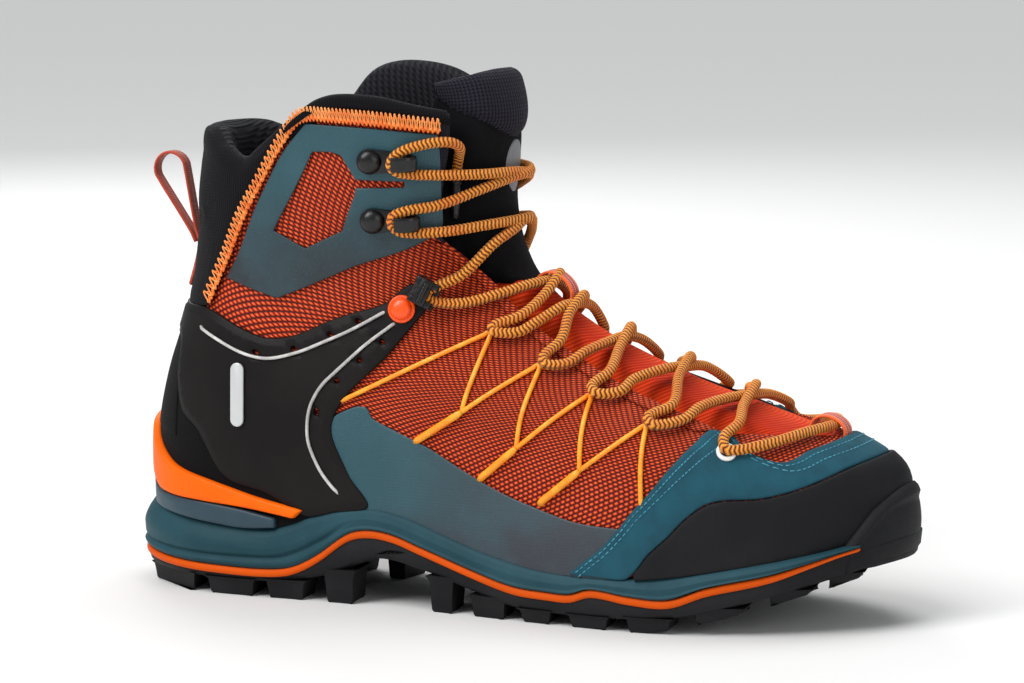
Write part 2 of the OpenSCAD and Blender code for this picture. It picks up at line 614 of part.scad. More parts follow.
// Cable routes on the cage, as [x, z]
cable_upper = [[29, 97], [38, 93], [50, 88.5], [59, 87.5], [70, 90], [80, 94], [90, 98.5], [103, 106]];
cable_lower = [[107, 102], [96, 93], [86, 84], [79, 76.5], [75.5, 68], [75.5, 59], [80, 49],
    [87.5, 40]];
module cage_cables() {
    color([0.62, 0.63, 0.64]) place() for (side = [outer, inner], run = [cable_upper, cable_lower])
        tube([for (p = run) at(side * q_at(p[0], p[1]), p[1], cage_face + cable_d / 2 + 0.3)],
            cable_d, 6);
}
binding_w = 0.03;
module binding(side) {
    edge = [for (z = [130, 124, 116, 108, 100, 92, 84, 76, 70]) [curve(throat_line, z), z]];
    function grid(d) = [
        for (i = [0:2]) let (s = side < 0 ? 2 - i : i) [
            for (j = [len(edge) - 1:-1:0]) at(side * (edge[j][0] + binding_w * s / 2), edge[j][1], d)
        ]
    ];
    sheet(grid(heel_gap + film_t), grid(heel_gap));
}
module throat_binding() {
    color([0.1, 0.1, 0.11]) place() {
        binding(outer);
        binding(inner);
    }
}

// ---- Hardware ----

rivet_spot = [109, 107];
module rivet_head(r, h) {
    rotate_extrude() polygon([[0, 0], [r, 0], [r, h * 0.4], [r * 0.75, h * 0.85], [0, h]]);
}
module ankle_rivets() {
    color([1, 0.35, 0.05]) place() for (side = [outer, inner])
        mounted(side * q_at(rivet_spot[0], rivet_spot[1]), rivet_spot[1], cage_face + 0.35)
            rivet_head(rivet_r, 2.4);
}
lock_spot = [0.352, 113];
module lace_locks() {
    color([0.12, 0.12, 0.13]) place() for (side = [outer, inner])
        mounted(side * lock_spot[0], lock_spot[1], cage_face + 0.35, side * 25)
            difference() {
                linear_extrude(6) offset(1.5) square([6, 5.5], center = true);
                translate([0, 0, 2.9]) rotate([90, 0, 0]) cylinder(r = lace_d / 2 + 0.3, h = 30, center = true);
            }
}
// Where the lace turns round a hook, as [x, z]; the post is in front of it, the rivet behind
hook_spots = [[108.3, 139.2], [108.3, 160.4]];
hook_base = gap + film_t + 0.35;
post_x = 4.4;
hook_rivet_x = 9;
hook_plate_t = 1.4;
module on_hook(spot, side, d) {
    mounted(side * q_at(spot[0], spot[1]), spot[1], d, 90)
        children();
}
module speed_hook(spot, side) {
    on_hook(spot, side, hook_base)
        linear_extrude(hook_plate_t) hull() {
            translate([-side * post_x, 0]) circle(3);
            translate([side * hook_rivet_x, 0]) circle(4.4);
        }
    on_hook(spot, side, hook_base + hook_plate_t)
        translate([-side * post_x, 0, 0]) {
            cylinder(r = 1.6, h = lace_d + 0.8);
            translate([0, 0, lace_d + 0.8]) linear_extrude(1.2) hull() {
                circle(2.4);
                translate([side * 4, 0]) circle(3.2);
            }
        }
}
module lower_speed_hooks() {
    color([0.1, 0.1, 0.1]) place() for (side = [outer, inner]) speed_hook(hook_spots[0], side);
}
module upper_speed_hooks() {
    color([0.1, 0.1, 0.1]) place() for (side = [outer, inner]) speed_hook(hook_spots[1], side);
}
module hook_rivets() {
    color([0.2, 0.2, 0.21]) place() for (side = [outer, inner], spot = hook_spots)
        on_hook(spot, side, hook_base + hook_plate_t)
            translate([side * hook_rivet_x, 0, 0]) rivet_head(4, 2.2);
}
eyelet_spot = [0.243, 62.5];
module toe_eyelets() {
    color([0.88, 0.88, 0.86]) place() for (side = [outer, inner])
        mounted(side * eyelet_spot[0], eyelet_spot[1], gap + film_t + 0.3)
            rotate_extrude() translate([eyelet_r - 0.65, 0.65]) circle(0.65);
}

// ---- Cords and lace ----

// Thin cords that pull the sides in: ends and forks, as [x, z]
cord_foot = [[117, 61], [143, 49.5], [167, 43]];
cord_fork = [[136, 73], [158, 62], [183, 56]];
cord_apex = [[140, 99.5], [160, 89], [181, 80], [203, 71]];
cord_first = [88, 74];
cord_last = [206, 45];
// Lines of the surface between two points
function line_on(a, b, side, d, parts = 3) = [
    for (i = [0:parts]) let (p = mix(a, b, i / parts)) at(side * q_at(p[0], p[1]), p[1], d)
];
// A point just short of the fork, on the way to the apex
function near_fork(fork, apex) = fork + unit(apex - fork) * cord_d * 1.2;
module tension_cords(side) {
    d = gap + film_t + cord_d / 2 + 0.5;
    starts = concat([cord_first], cord_fork);
    stops = concat(cord_fork, [cord_last]);
    for (k = [0:3]) {
        up = line_on(near_fork(starts[k], cord_apex[k]), cord_apex[k], side, d);
        down = line_on(cord_apex[k], near_fork(stops[k], cord_apex[k]), side, d);
        tube(concat(up, [for (i = [1:len(down) - 1]) down[i]]), cord_d, 6);
    }
    for (k = [0:2]) tube(line_on(cord_fork[k], cord_foot[k], side, d, 2), cord_d * 1.3, 6);
}
module tension_cords_outer() {
    color([1, 0.5, 0.1]) place() tension_cords(outer);
}
module tension_cords_inner() {
    color([1, 0.5, 0.1]) place() tension_cords(inner);
}
// Route of half the lace from its tip at the upper hook to the middle of the toe: [q, z, d]
half_lace = [
    [-0.205, 151.5, -4.9], [-0.205, 156.5, -4.8], [-0.206, 161.5, -3], [-0.213, 165, 0.4],
    [-0.235, 167, 2.6], [-0.265, 167.4, 3.8], [-0.3, 166.6, 4.6], [-0.335, 164.8, 5.4],
    [-0.353, 162.4, 5.6], [-0.357, 159.4, 5.6], [-0.34, 157.1, 5.4], [-0.27, 156, 4], [-0.15, 155.5, 2.4],
    [-0.07, 155.6, 2.4], [0, 155, 2.4], [0.07, 153.4, 2.4], [0.15, 150.5, 2.4],
    [0.26, 145.2, 3.8], [0.325, 143.6, 5.4], [0.353, 141.6, 5.6], [0.357, 138.4, 5.6],
    [0.34, 136, 5.4], [0.26, 135.6, 3.8], [0.15, 137, 2.4], [0.07, 137.6, 2.4],
    [0, 137.5, 2.4], [-0.07, 134.6, 2.4], [-0.15, 130, 2.4],
    [-0.26, 119.5, 3.6], [-0.32, 115.5, 5], [-0.352, 112.8, 5.6], [-0.35, 109.6, 5], [-0.3, 109, 3],
    [-0.2, 112.5, 2.2], [-0.1, 115, 1.6],
    [0, 115, 1.4], [0.12, 110, 2], [0.22, 104, 3], [0.29, 100.5, 3.8], [0.3, 98.6, 3.8],
    [0.26, 98.6, 3], [0.2, 102, 2.6], [0.1, 106, 3],
    [0, 107, 5.2], [-0.1, 104, 3], [-0.2, 96, 2.6], [-0.275, 90, 3.8], [-0.285, 87.8, 3.8],
    [-0.25, 88.4, 3], [-0.19, 92, 2.6], [-0.1, 95, 1.9],
    [0, 96, 1.4], [0.1, 93, 1.9], [0.2, 86, 2.6], [0.265, 81, 3.8], [0.275, 78.8, 3.8],
    [0.24, 79.6, 3], [0.18, 83.5, 2.6], [0.09, 85.5, 3],
    [0, 86, 5.2], [-0.1, 83, 3], [-0.2, 76, 2.6], [-0.265, 72, 3.8], [-0.275, 69.8, 3.8],
    [-0.23, 71.4, 3], [-0.17, 75, 2.6], [-0.09, 77, 1.9],
    [0, 77, 1.4], [0.09, 75, 1.9], [0.17, 70, 2.6], [0.225, 66, 3.4], [0.243, 62.5, 3.6],
    [0.2, 63.4, 3.2], [0.12, 66, 2.8]
];
crossing_sum = 6.6;
function lace_half(side) = [
    for (p = half_lace) at(side * p[0], p[1], p[0] == 0 && side < 0 ? crossing_sum - p[2] : p[2])
];
lace_route = concat(lace_half(1), [at(0, 67, 2.6)],
    [let (h = lace_half(-1)) for (i = [len(h) - 1:-1:0]) h[i]]);
module lace() {
    color([0.95, 0.62, 0.15]) place() tube(lace_route, lace_d, 6);
}
tip_len = 13;
module lace_tips() {
    last = len(lace_route) - 1;
    ends = [[lace_route[0], lace_route[1]], [lace_route[last], lace_route[last - 1]]];
    color([0.1, 0.1, 0.1]) place() for (e = ends) {
        way = unit(e[0] - e[1]);
        start = e[0] + way * 0.05;
        translate(start) rotate([0, acos(way[2]), atan2(way[1], way[0])])
            cylinder(r1 = lace_d / 2, r2 = lace_d / 2 - 0.5, h = tip_len);
    }
}
keeper_spots = [112.6, 67.4];
module lace_keepers() {
    color([0.95, 0.45, 0.15]) place() for (z = keeper_spots)
        mounted(0, z, -0.9) rotate([90, 0, 90]) translate([0, 0, -4]) linear_extrude(8)
            difference() {
                intersection() {
                    circle(6.4);
                    translate([-10, 0]) square(20);
                }
                circle(5.4);
            }
}

// ---- Pull loop ----

module loop_tab() {
    color([1, 0.35, 0.15]) place()
        patch([for (i = [0:3]) [mix(0.96, 1.04, i / 3), 109]],
            [for (i = [0:3]) [mix(0.96, 1.04, i / 3), 123]], 4, 5, 4);
}
loop_base = [13.4, 125];
loop_tip = [-3, 156];
module pull_loop() {
    way = loop_tip - loop_base;
    long = norm(way);
    color([1, 0.35, 0.15]) place()
        translate([loop_base[0], -web_w / 2, loop_base[1]])
            rotate([0, atan2(way[0], way[1]), 0]) rotate([90, 0, 0]) translate([0, 0, -web_w])
                linear_extrude(web_w) difference() {
                    hull() {
                        circle(1.6);
                        translate([0, long - 7]) circle(7);
                    }
                    hull() {
                        translate([0, 5]) circle(0.5);
                        translate([0, long - 7]) circle(5.7);
                    }
                }
}

outsole();
accent_stripe();
midsole();
heel_cradle();
heel_insert();
shank();
lasting_board();
footbed();
upper_shell();
lining();
toe_puff();
heel_counter();
collar_pad();
backstay();
tongue_lower();
tongue_top();
tongue_patch();
toe_rand();
toe_overlay();
side_film_outer();
side_film_inner();
ankle_panel_outer();
ankle_panel_inner();
heel_cage();
heel_reflectors();
cage_cables();
ankle_rivets();
lace_locks();
lower_speed_hooks();
upper_speed_hooks();
hook_rivets();
toe_eyelets();
throat_binding();
tension_cords_outer();
tension_cords_inner();
lace_keepers();
lace();
lace_tips();
loop_tab();
pull_loop();
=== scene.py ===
"""Looks of a mid-height mountaineering boot for the right foot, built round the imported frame.

Lengths are millimetres in heel-based coordinates (x from the heel to the toe, outer side at -y)
until place() turns them into metres in the part's frame. As in the part's own source, a soft layer
follows one surface, at(q, z, d): q runs from 0 at the toe to 1 at the heel and is negative on the
outer side, z is the height, and d is the distance outwards.
"""
import math

import bpy
import numpy as np
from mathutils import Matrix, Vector
from mathutils.geometry import delaunay_2d_cdt
from mathutils.kdtree import KDTree


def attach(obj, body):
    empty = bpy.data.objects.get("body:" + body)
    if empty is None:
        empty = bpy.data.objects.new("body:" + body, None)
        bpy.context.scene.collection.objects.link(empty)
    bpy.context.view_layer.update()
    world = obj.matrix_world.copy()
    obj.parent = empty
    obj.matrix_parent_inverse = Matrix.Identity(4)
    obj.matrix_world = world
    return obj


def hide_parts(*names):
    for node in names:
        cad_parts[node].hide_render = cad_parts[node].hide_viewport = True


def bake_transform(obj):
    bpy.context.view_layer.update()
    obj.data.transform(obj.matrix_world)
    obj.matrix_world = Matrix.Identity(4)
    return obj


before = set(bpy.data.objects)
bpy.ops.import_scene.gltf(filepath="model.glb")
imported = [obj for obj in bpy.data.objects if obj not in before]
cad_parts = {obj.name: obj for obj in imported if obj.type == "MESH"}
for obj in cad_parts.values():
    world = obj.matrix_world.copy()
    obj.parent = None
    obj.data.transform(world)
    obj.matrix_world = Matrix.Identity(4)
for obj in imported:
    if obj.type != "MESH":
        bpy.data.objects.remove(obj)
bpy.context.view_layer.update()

MM = 0.001
ORIGIN = np.array([141.25, 2.0, 0.0])
OUTER, INNER = -1, 1
SIDES = {OUTER: "outer", INNER: "inner"}

# ---- Sizes, as in the part's source ----

SHELL_T = 1.5
FILM_T = 1.0
CAGE_T = 1.8
CAGE_D = 0.6
CRADLE_D = 0.6
RAND_T = 2.0
STRIPE_T = 3.0
LACE_D = 3.6
CORD_D = 1.7
CABLE_D = 1.2
WEB_W = 8.0
GAP = 0.5
HINGE_Z = 116.0
CUFF_CORNER_Q = 0.235

HEEL_LINE = [[24, 3], [38, 2], [58, 2], [78, 6], [98, 12.5], [123, 19.5], [143, 21], [158, 23],
             [173, 24], [188, 23], [200, 24]]
TOE_LINE = [[24, 288], [38, 290], [48, 288], [56, 280], [65, 263], [74, 237], [82, 213],
            [90, 194], [98, 177], [108, 161], [118, 150], [128, 144], [138, 141], [148, 140],
            [168, 141], [183, 139], [200, 133]]
TOE_ROUND = [[28, 85], [50, 95], [70, 105], [90, 110], [110, 90], [130, 62], [150, 54], [200, 54]]
HEEL_ROUND = [[28, 36], [60, 40], [100, 40], [140, 42], [200, 46]]
OUTER_HALF = [[0, 34], [40, 35], [80, 36], [120, 38], [160, 44], [200, 50], [235, 49], [300, 42]]
INNER_HALF = [[0, 32], [40, 33], [80, 33], [120, 33], [160, 38], [200, 45], [235, 47], [300, 42]]
CUFF_HALF = [[60, 34], [90, 31], [120, 33], [150, 37], [200, 41]]
CENTRE_LINE = [[0, 0], [120, 0], [200, 3], [300, 10]]
CUFF_START, CUFF_FULL = 70, 125

SOLE_BACK, SOLE_FRONT = -6, 297
TOE_SET_BACK = 7
SOLE_OUTER_HALF = [[-6, 35], [40, 39], [80, 39], [120, 41], [160, 47], [205, 52.5], [240, 51],
                   [300, 43]]
SOLE_INNER_HALF = [[-6, 33], [40, 37], [80, 35], [120, 34], [160, 40], [205, 49], [240, 50],
                   [300, 45]]
GROUND_LINE = [[-6, 0], [205, 0], [225, 4], [240, 8], [262, 15], [282, 21.5], [300, 26]]
PLATE_LINE = [[-6, 6], [30, 5.5], [58, 5.5], [70, 7], [85, 11], [101, 17], [120, 14], [138, 9],
              [157, 4.5], [190, 3.8], [216, 5.5], [240, 11], [263, 18], [283, 24], [300, 28.5]]
STRIPE_LINE = [[-6, 14], [15, 12], [40, 11], [58, 11], [68, 12.5], [78, 17.5], [90, 26],
               [98, 28], [108, 27], [119, 23.5], [142, 16.5], [157, 12.8], [170, 12], [179, 12],
               [187, 14.5], [202, 13], [216, 12.8], [229, 17.5], [250, 22.3], [262, 26.2],
               [273, 29.8], [300, 37]]
RIM_LINE = [[0, 31], [15, 29.5], [39, 27], [55, 26], [64, 28], [77, 33], [95, 36.5], [110, 35],
            [126, 30], [146, 24], [169, 20], [202, 20], [221, 22], [257, 28], [280, 33],
            [300, 41]]
FLOOR_LINE = [[-6, 23], [55, 22], [75, 24], [95, 31], [110, 30], [126, 25.5], [146, 20],
              [169, 16], [202, 16.5], [221, 18.5], [257, 24.5], [280, 31], [300, 38]]
COLLAR_LINE = [[0.2, 176], [0.3, 179], [0.38, 182], [0.46, 182.5], [0.51, 180.5], [0.55, 176.3],
               [0.6, 169.8], [0.64, 164.3], [0.685, 159], [0.76, 162], [0.86, 168], [1, 169]]
THROAT_LINE = [[60, 0.19], [69, 0.2], [100, 0.205], [116, 0.2], [124, 0.225], [133, 0.27],
               [140, 0.26], [176, 0.235]]
THROAT_TOE_Z = 67
CORNER_U, TOE_U = 0.42, 0.88
FOOT_Q = [[0, 1], [0.42, 0.55], [0.88, 0.27], [1, 0]]


# ---- Numbers and the foot's surface ----

def hermite(a, b, slope_a, slope_b, s):
    """Cubic from a to b, where s is 0 to 1, with the given slopes at its ends."""
    return ((2 * s**3 - 3 * s**2 + 1) * a + (s**3 - 2 * s**2 + s) * slope_a
            + (3 * s**2 - 2 * s**3) * b + (s**3 - s**2) * slope_b)


def curve(table, t):
    """Cubic through stations [key, value]."""
    keys, vals = np.array(table, float).T
    t = np.asarray(t, float)
    k = np.clip(np.searchsorted(keys, t, side="right") - 1, 0, len(keys) - 2)
    before = np.maximum(np.arange(len(keys)) - 1, 0)
    after = np.minimum(np.arange(len(keys)) + 1, len(keys) - 1)
    slope = (vals[after] - vals[before]) / (keys[after] - keys[before])
    h = keys[k + 1] - keys[k]
    s = np.clip((t - keys[k]) / h, 0, 1)
    return hermite(vals[k], vals[k + 1], h * slope[k], h * slope[k + 1], s)


def lookup(table, t):
    keys, vals = np.array(table, float).T
    return np.interp(t, keys, vals)


def mix(a, b, t):
    return a + (b - a) * t


def ease(a, b, t):
    s = np.clip((np.asarray(t, float) - a) / (b - a), 0, 1)
    return s * s * (3 - 2 * s)


def unit(v):
    v = np.asarray(v, float)
    return v / np.maximum(np.linalg.norm(v, axis=-1, keepdims=True), 1e-9)


def skin(q, z):
    """Point of the foot's surface."""
    q, z = np.broadcast_arrays(np.asarray(q, float), np.asarray(z, float))
    xb, xf = curve(HEEL_LINE, z), curve(TOE_LINE, z)
    x = xb + (xf - xb) * (1 + np.cos(np.pi * q)) / 2
    back = np.clip((x - xb) / curve(HEEL_ROUND, z), 0, 1)
    front = np.clip((xf - x) / curve(TOE_ROUND, z), 0, 1)
    round_off = (1 - (1 - back) ** 2.2) ** (1 / 2.2) * np.sqrt(1 - (1 - front) ** 2)
    outer = np.sin(np.pi * q) < 0
    foot = np.where(outer, curve(OUTER_HALF, x), curve(INNER_HALF, x))
    half = mix(foot, curve(CUFF_HALF, z), ease(CUFF_START, CUFF_FULL, z))
    y = curve(CENTRE_LINE, x) + half * round_off * np.where(outer, OUTER, INNER)
    x = x - TOE_SET_BACK * ease(245, 290, x) * (1 - ease(42, 60, z))
    return np.stack([x, y, z], axis=-1)


def normal(q, z):
    q, z = np.broadcast_arrays(np.asarray(q, float), np.asarray(z, float))
    dq, dz = 0.002, 0.4
    along = skin(q + dq, z) - skin(q - dq, z)
    up = skin(q, z + dz) - skin(q, z - dz)
    return unit(np.cross(along, up))


def at(q, z, d):
    d = np.broadcast_to(np.asarray(d, float), np.broadcast(q, z).shape)
    return skin(q, z) + normal(q, z) * d[..., None]


def q_at(x, z):
    """|q| of the point at x and z."""
    xb, xf = curve(HEEL_LINE, z), curve(TOE_LINE, z)
    return np.arccos(np.clip(2 * (x - xb) / (xf - xb) - 1, -1, 1)) / np.pi


def on_side(points, side):
    """Points given as [x, z], as [q, z] on one side."""
    p = np.array(points, float)
    return np.stack([side * q_at(p[:, 0], p[:, 1]), p[:, 1]], axis=-1)


def fold(q):
    """Distance from the toe either way round: q above 1 has gone past the heel."""
    return np.where(np.asarray(q) > 1, 2 - np.asarray(q), np.abs(q))


def foot_x(q):
    """x of the upper where it meets the sole."""
    return 2 + 287 * (1 + np.cos(np.pi * np.asarray(q, float))) / 2


def rim_z(q):
    return curve(RIM_LINE, foot_x(q))


def run_length(points):
    """Length from the first point to each point of a line."""
    return np.concatenate([[0], np.cumsum(np.linalg.norm(np.diff(points, axis=0), axis=1))])


# Lengths round the foot at half height, so that patterns and meshes have an even scale
ARC_Q = np.linspace(0, 1, 801)
ARC_U = run_length(skin(ARC_Q, 60))


def arc(q):
    """Length u round the foot from the toe."""
    q = np.asarray(q, float)
    plain = np.sign(q) * np.interp(np.abs(q), ARC_Q, ARC_U)
    return np.where(q > 1, 2 * ARC_U[-1] - np.interp(2 - q, ARC_Q, ARC_U), plain)


def q_of(u):
    u = np.asarray(u, float)
    plain = np.sign(u) * np.interp(np.abs(u), ARC_U, ARC_Q)
    return np.where(u > ARC_U[-1], 2 - np.interp(2 * ARC_U[-1] - u, ARC_U, ARC_Q), plain)


def past_toe(edge):
    """An edge of [q, z] that ends at the toe, carried on round to the other side."""
    return [*edge, *([-q, z] for q, z in edge[-2::-1])]


def past_heel(edge):
    """An edge of [q, z] that ends at the heel, carried on round to the other side."""
    return [*edge, *([2 - q, z] for q, z in edge[-2::-1])]


# ---- Lines ----

def smooth(points, step=1.5, closed=False, sharp=()):
    """Even points along a curve through the given ones, which keeps its corners where sharp."""
    p = np.array(points, float)
    n = len(p)
    out = []
    for i in range(n if closed else n - 1):
        a, b = p[i], p[(i + 1) % n]
        first = not closed and i == 0
        last = not closed and i == n - 2
        before = a if first or i in sharp else p[i - 1]
        after = b if last or (i + 1) % n in sharp else p[(i + 2) % n]
        length = np.linalg.norm(b - a)
        ma = (b - before) / max(length + np.linalg.norm(a - before), 1e-9) * length
        mb = (after - a) / max(length + np.linalg.norm(after - b), 1e-9) * length
        parts = max(int(round(length / step)), 1)
        s = (np.arange(parts) / parts)[:, None]
        out.append(hermite(a, b, ma, mb, s))
    if not closed:
        out.append(p[-1:])
    return np.concatenate(out)


def evenly(points, step):
    """The same line with its points a step apart."""
    p = np.asarray(points, float)
    run = run_length(p)
    count = max(int(round(run[-1] / step)), 1)
    where = np.linspace(0, run[-1], count + 1)
    return np.stack([np.interp(where, run, p[:, k]) for k in range(p.shape[1])], axis=-1)


def edge_line(points, step=1.5, closed=False, sharp=()):
    """A line of [q, z] as even points of [u, z]."""
    p = np.array(points, float)
    return smooth(np.stack([arc(p[:, 0]), p[:, 1]], axis=-1), step, closed, sharp)


def beside(line, distance):
    """The line moved to its left, for open lines."""
    line = np.asarray(line, float)
    t = unit(np.gradient(line, axis=0))
    return line + np.stack([-t[:, 1], t[:, 0]], axis=-1) * distance


def inset(loop, distance):
    """A closed loop moved to its left."""
    e0 = unit(loop - np.roll(loop, 1, axis=0))
    e1 = unit(np.roll(loop, -1, axis=0) - loop)
    left = unit(np.stack([-(e0 + e1)[:, 1], (e0 + e1)[:, 0]], axis=-1))
    widen = 1 / np.clip(np.sum(left * np.stack([-e1[:, 1], e1[:, 0]], axis=-1), axis=-1), 0.5, 1)
    return loop + left * distance * widen[:, None]


def area(loop):
    x, y = loop[:, 0], loop[:, 1]
    return 0.5 * np.sum(x * np.roll(y, -1) - np.roll(x, -1) * y)


def distance_to(points, loops):
    """Distance of each point from the nearest side of closed loops."""
    best = np.full(len(points), 1e9)
    for loop in loops:
        a, b = loop, np.roll(loop, -1, axis=0)
        ab = b - a
        for start in range(0, len(points), 800):
            p = points[start:start + 800]
            s = np.sum((p[:, None] - a) * ab, axis=-1)
            s = s / np.maximum(np.sum(ab * ab, axis=-1), 1e-12)
            near = a + np.clip(s, 0, 1)[..., None] * ab
            d = np.min(np.linalg.norm(p[:, None] - near, axis=-1), axis=1)
            best[start:start + 800] = np.minimum(best[start:start + 800], d)
    return best


def within(points, loops):
    """Whether each point is inside, by crossings, so that holes are outside."""
    inside = np.zeros(len(points), bool)
    for loop in loops:
        a, b = loop, np.roll(loop, -1, axis=0)
        for k in range(len(loop)):
            cross = (a[k, 1] > points[:, 1]) != (b[k, 1] > points[:, 1])
            with np.errstate(divide="ignore", invalid="ignore"):
                x = a[k, 0] + (points[:, 1] - a[k, 1]) * (b[k, 0] - a[k, 0]) / (b[k, 1] - a[k, 1])
            inside ^= cross & (points[:, 0] < x)
    return inside


# ---- Meshes: each is (points, faces) in millimetres ----

def joined(*meshes):
    points, faces, count = [], [], 0
    for p, f in meshes:
        points.append(np.asarray(p, float))
        faces += [[i + count for i in face] for face in f]
        count += len(p)
    return np.concatenate(points), faces


def loft(rings, wrap=False):
    """Closed skin through rings, each a closed loop of the same number of points."""
    rings = np.asarray(rings, float)
    n, m = rings.shape[:2]
    faces = []
    for i in range(n if wrap else n - 1):
        a, b = i * m, (i + 1) % n * m
        faces += [[a + k, a + (k + 1) % m, b + (k + 1) % m, b + k] for k in range(m)]
    if not wrap:
        faces += [list(range(m))[::-1], list(range((n - 1) * m, n * m))]
    return rings.reshape(-1, 3), faces


def turns(count):
    """Angles that share out a full turn."""
    return np.arange(count) * 2 * np.pi / count


def tube(points, radius, sides=10):
    """Round tube along points; radius is a number or one for each point."""
    p = np.asarray(points, float)
    radius = np.broadcast_to(np.asarray(radius, float), (len(p),))
    along = unit(np.gradient(p, axis=0))
    way = unit(np.cross(along[0], [1, 0, 0] if abs(along[0][2]) > 0.9 else [0, 0, 1]))
    ways = []
    for t in along:
        way = unit(way - np.dot(way, t) * t)
        ways.append(way)
    ways = np.array(ways)
    other = np.cross(along, ways)
    a = turns(sides)
    rings = p[:, None] + radius[:, None, None] * (np.cos(a)[:, None] * ways[:, None]
                                                  + np.sin(a)[:, None] * other[:, None])
    return loft(rings)


def lathe(profile, sides=40):
    """Solid turned about +Z from [radius, height] pairs; it is closed where the radius is 0."""
    return loft([[[max(r, 0.01) * np.cos(t), max(r, 0.01) * np.sin(t), h] for t in turns(sides)]
                 for r, h in profile])


def slab(outline, height, bevel):
    """Plate of a counter-clockwise outline with rounded upper and lower edges."""
    outline = np.asarray(outline, float)
    levels = [(bevel, 0), (0.3 * bevel, 0.3 * bevel), (0, bevel), (0, height - bevel),
              (0.3 * bevel, height - 0.3 * bevel), (bevel, height)]
    return loft([np.column_stack([inset(outline, move), np.full(len(outline), z)])
                 for move, z in levels])


def moved(mesh, matrix):
    p = np.column_stack([mesh[0], np.ones(len(mesh[0]))]) @ np.asarray(matrix).T
    return p[:, :3], mesh[1]


def mount(q, z, d=0.0, spin=0.0):
    """Matrix that puts +Z outwards on the surface, with +X turned by spin degrees in it."""
    n = normal(q, z)
    b, c, s = math.acos(n[2]), math.atan2(n[1], n[0]), math.radians(spin)
    ry = np.array([[math.cos(b), 0, math.sin(b)], [0, 1, 0], [-math.sin(b), 0, math.cos(b)]])
    rz = np.array([[math.cos(c), -math.sin(c), 0], [math.sin(c), math.cos(c), 0], [0, 0, 1]])
    rs = np.array([[math.cos(s), -math.sin(s), 0], [math.sin(s), math.cos(s), 0], [0, 0, 1]])
    out = np.eye(4)
    out[:3, :3] = rz @ ry @ rs
    out[:3, 3] = at(q, z, d)
    return out


BORDER_STEP = 1.1
ROW_SHARE = 0.866  # rows of even triangles


def round_edge(thick, edge=0.7):
    """Height over the base by the distance from a panel's border."""
    def height(e):
        s = np.clip(e / edge, 0, 1)
        return thick * (0.4 + 0.6 * np.sqrt(1 - (1 - s) ** 2))
    return height


def panel(outline, height, holes=(), d0=GAP, step=2.0, rings=(0.12, 0.35, 0.7)):
    """Closed shell over the surface inside a closed outline of [u, z], with rounded borders.

    Its height over d0 depends on the distance from the border. The rings are rows of points
    at those distances, and a grid with that step fills the rest.
    """
    loops = [evenly(np.vstack([loop, loop[:1]]), BORDER_STEP)[:-1] for loop in (outline, *holes)]
    loops = [loop if (area(loop) > 0) == (k == 0) else loop[::-1] for k, loop in enumerate(loops)]
    low, high = loops[0].min(axis=0), loops[0].max(axis=0)
    rows = np.arange(low[1], high[1], step * ROW_SHARE)
    grid = np.array([[u + k % 2 * step / 2, z] for k, z in enumerate(rows)
                     for u in np.arange(low[0], high[0], step)])
    near = np.concatenate([inset(loop, w) for loop in loops for w in rings])
    coords = [*loops]
    for points, clear in ((near, rings[0] * 0.6), (grid, rings[-1] + step * 0.4)):
        points = points[within(points, loops)]
        coords.append(points[distance_to(points, loops) > clear])
    edges, count = [], 0
    for loop in loops:
        edges += [(count + k, count + (k + 1) % len(loop)) for k in range(len(loop))]
        count += len(loop)
    found = delaunay_2d_cdt([Vector(c) for c in np.concatenate(coords)], edges, [], 0, 1e-5)
    uz = np.array([list(v) for v in found[0]])
    tris = np.array([list(f) for f in found[2]])
    tris = tris[within(uz[tris].mean(axis=1), loops)]
    used, tris = np.unique(tris, return_inverse=True)
    uz, tris = uz[used], tris.reshape(-1, 3)
    n = len(uz)
    q = q_of(uz[:, 0])
    points = np.concatenate([at(q, uz[:, 1], d0 + height(distance_to(uz, loops))),
                             at(q, uz[:, 1], d0)])
    faces = tris.tolist() + (tris[:, ::-1] + n).tolist()
    sides = dict.fromkeys((t[k], t[(k + 1) % 3]) for t in tris.tolist() for k in range(3))
    faces += [[a, a + n, b + n, b] for a, b in sides if (b, a) not in sides]
    return points, faces


def between(low, high, sharp_low=(), sharp_high=()):
    """Outline of [u, z] that runs along a lower edge of [q, z] and back along an upper one."""
    return np.concatenate([edge_line(low, sharp=sharp_low),
                           edge_line(high, sharp=sharp_high)[::-1]])


LIP = 3


def sheet(outside, inside, wrap=False):
    """Closed sheet between two grids of columns that run upwards, with rounded long edges."""
    middle = (outside + inside) / 2
    lips = []
    for a, b, end, back in ((outside, inside, -1, -2), (inside, outside, 0, 1)):
        way = unit(a[:, end] - a[:, back])
        r = np.linalg.norm(a[:, end] - b[:, end], axis=-1, keepdims=True) / 2
        lips.append(np.stack([middle[:, end] + (a[:, end] - middle[:, end]) * np.cos(s)
                              + way * r * np.sin(s) * 0.8
                              for s in np.linspace(0, np.pi, LIP + 2)[1:-1]], axis=1))
    return loft(np.concatenate([outside, lips[0], inside[:, ::-1], lips[1]], axis=1), wrap=wrap)


def distance_to_line(points, line):
    return np.array([np.min(np.linalg.norm(line - p, axis=1)) for p in points])


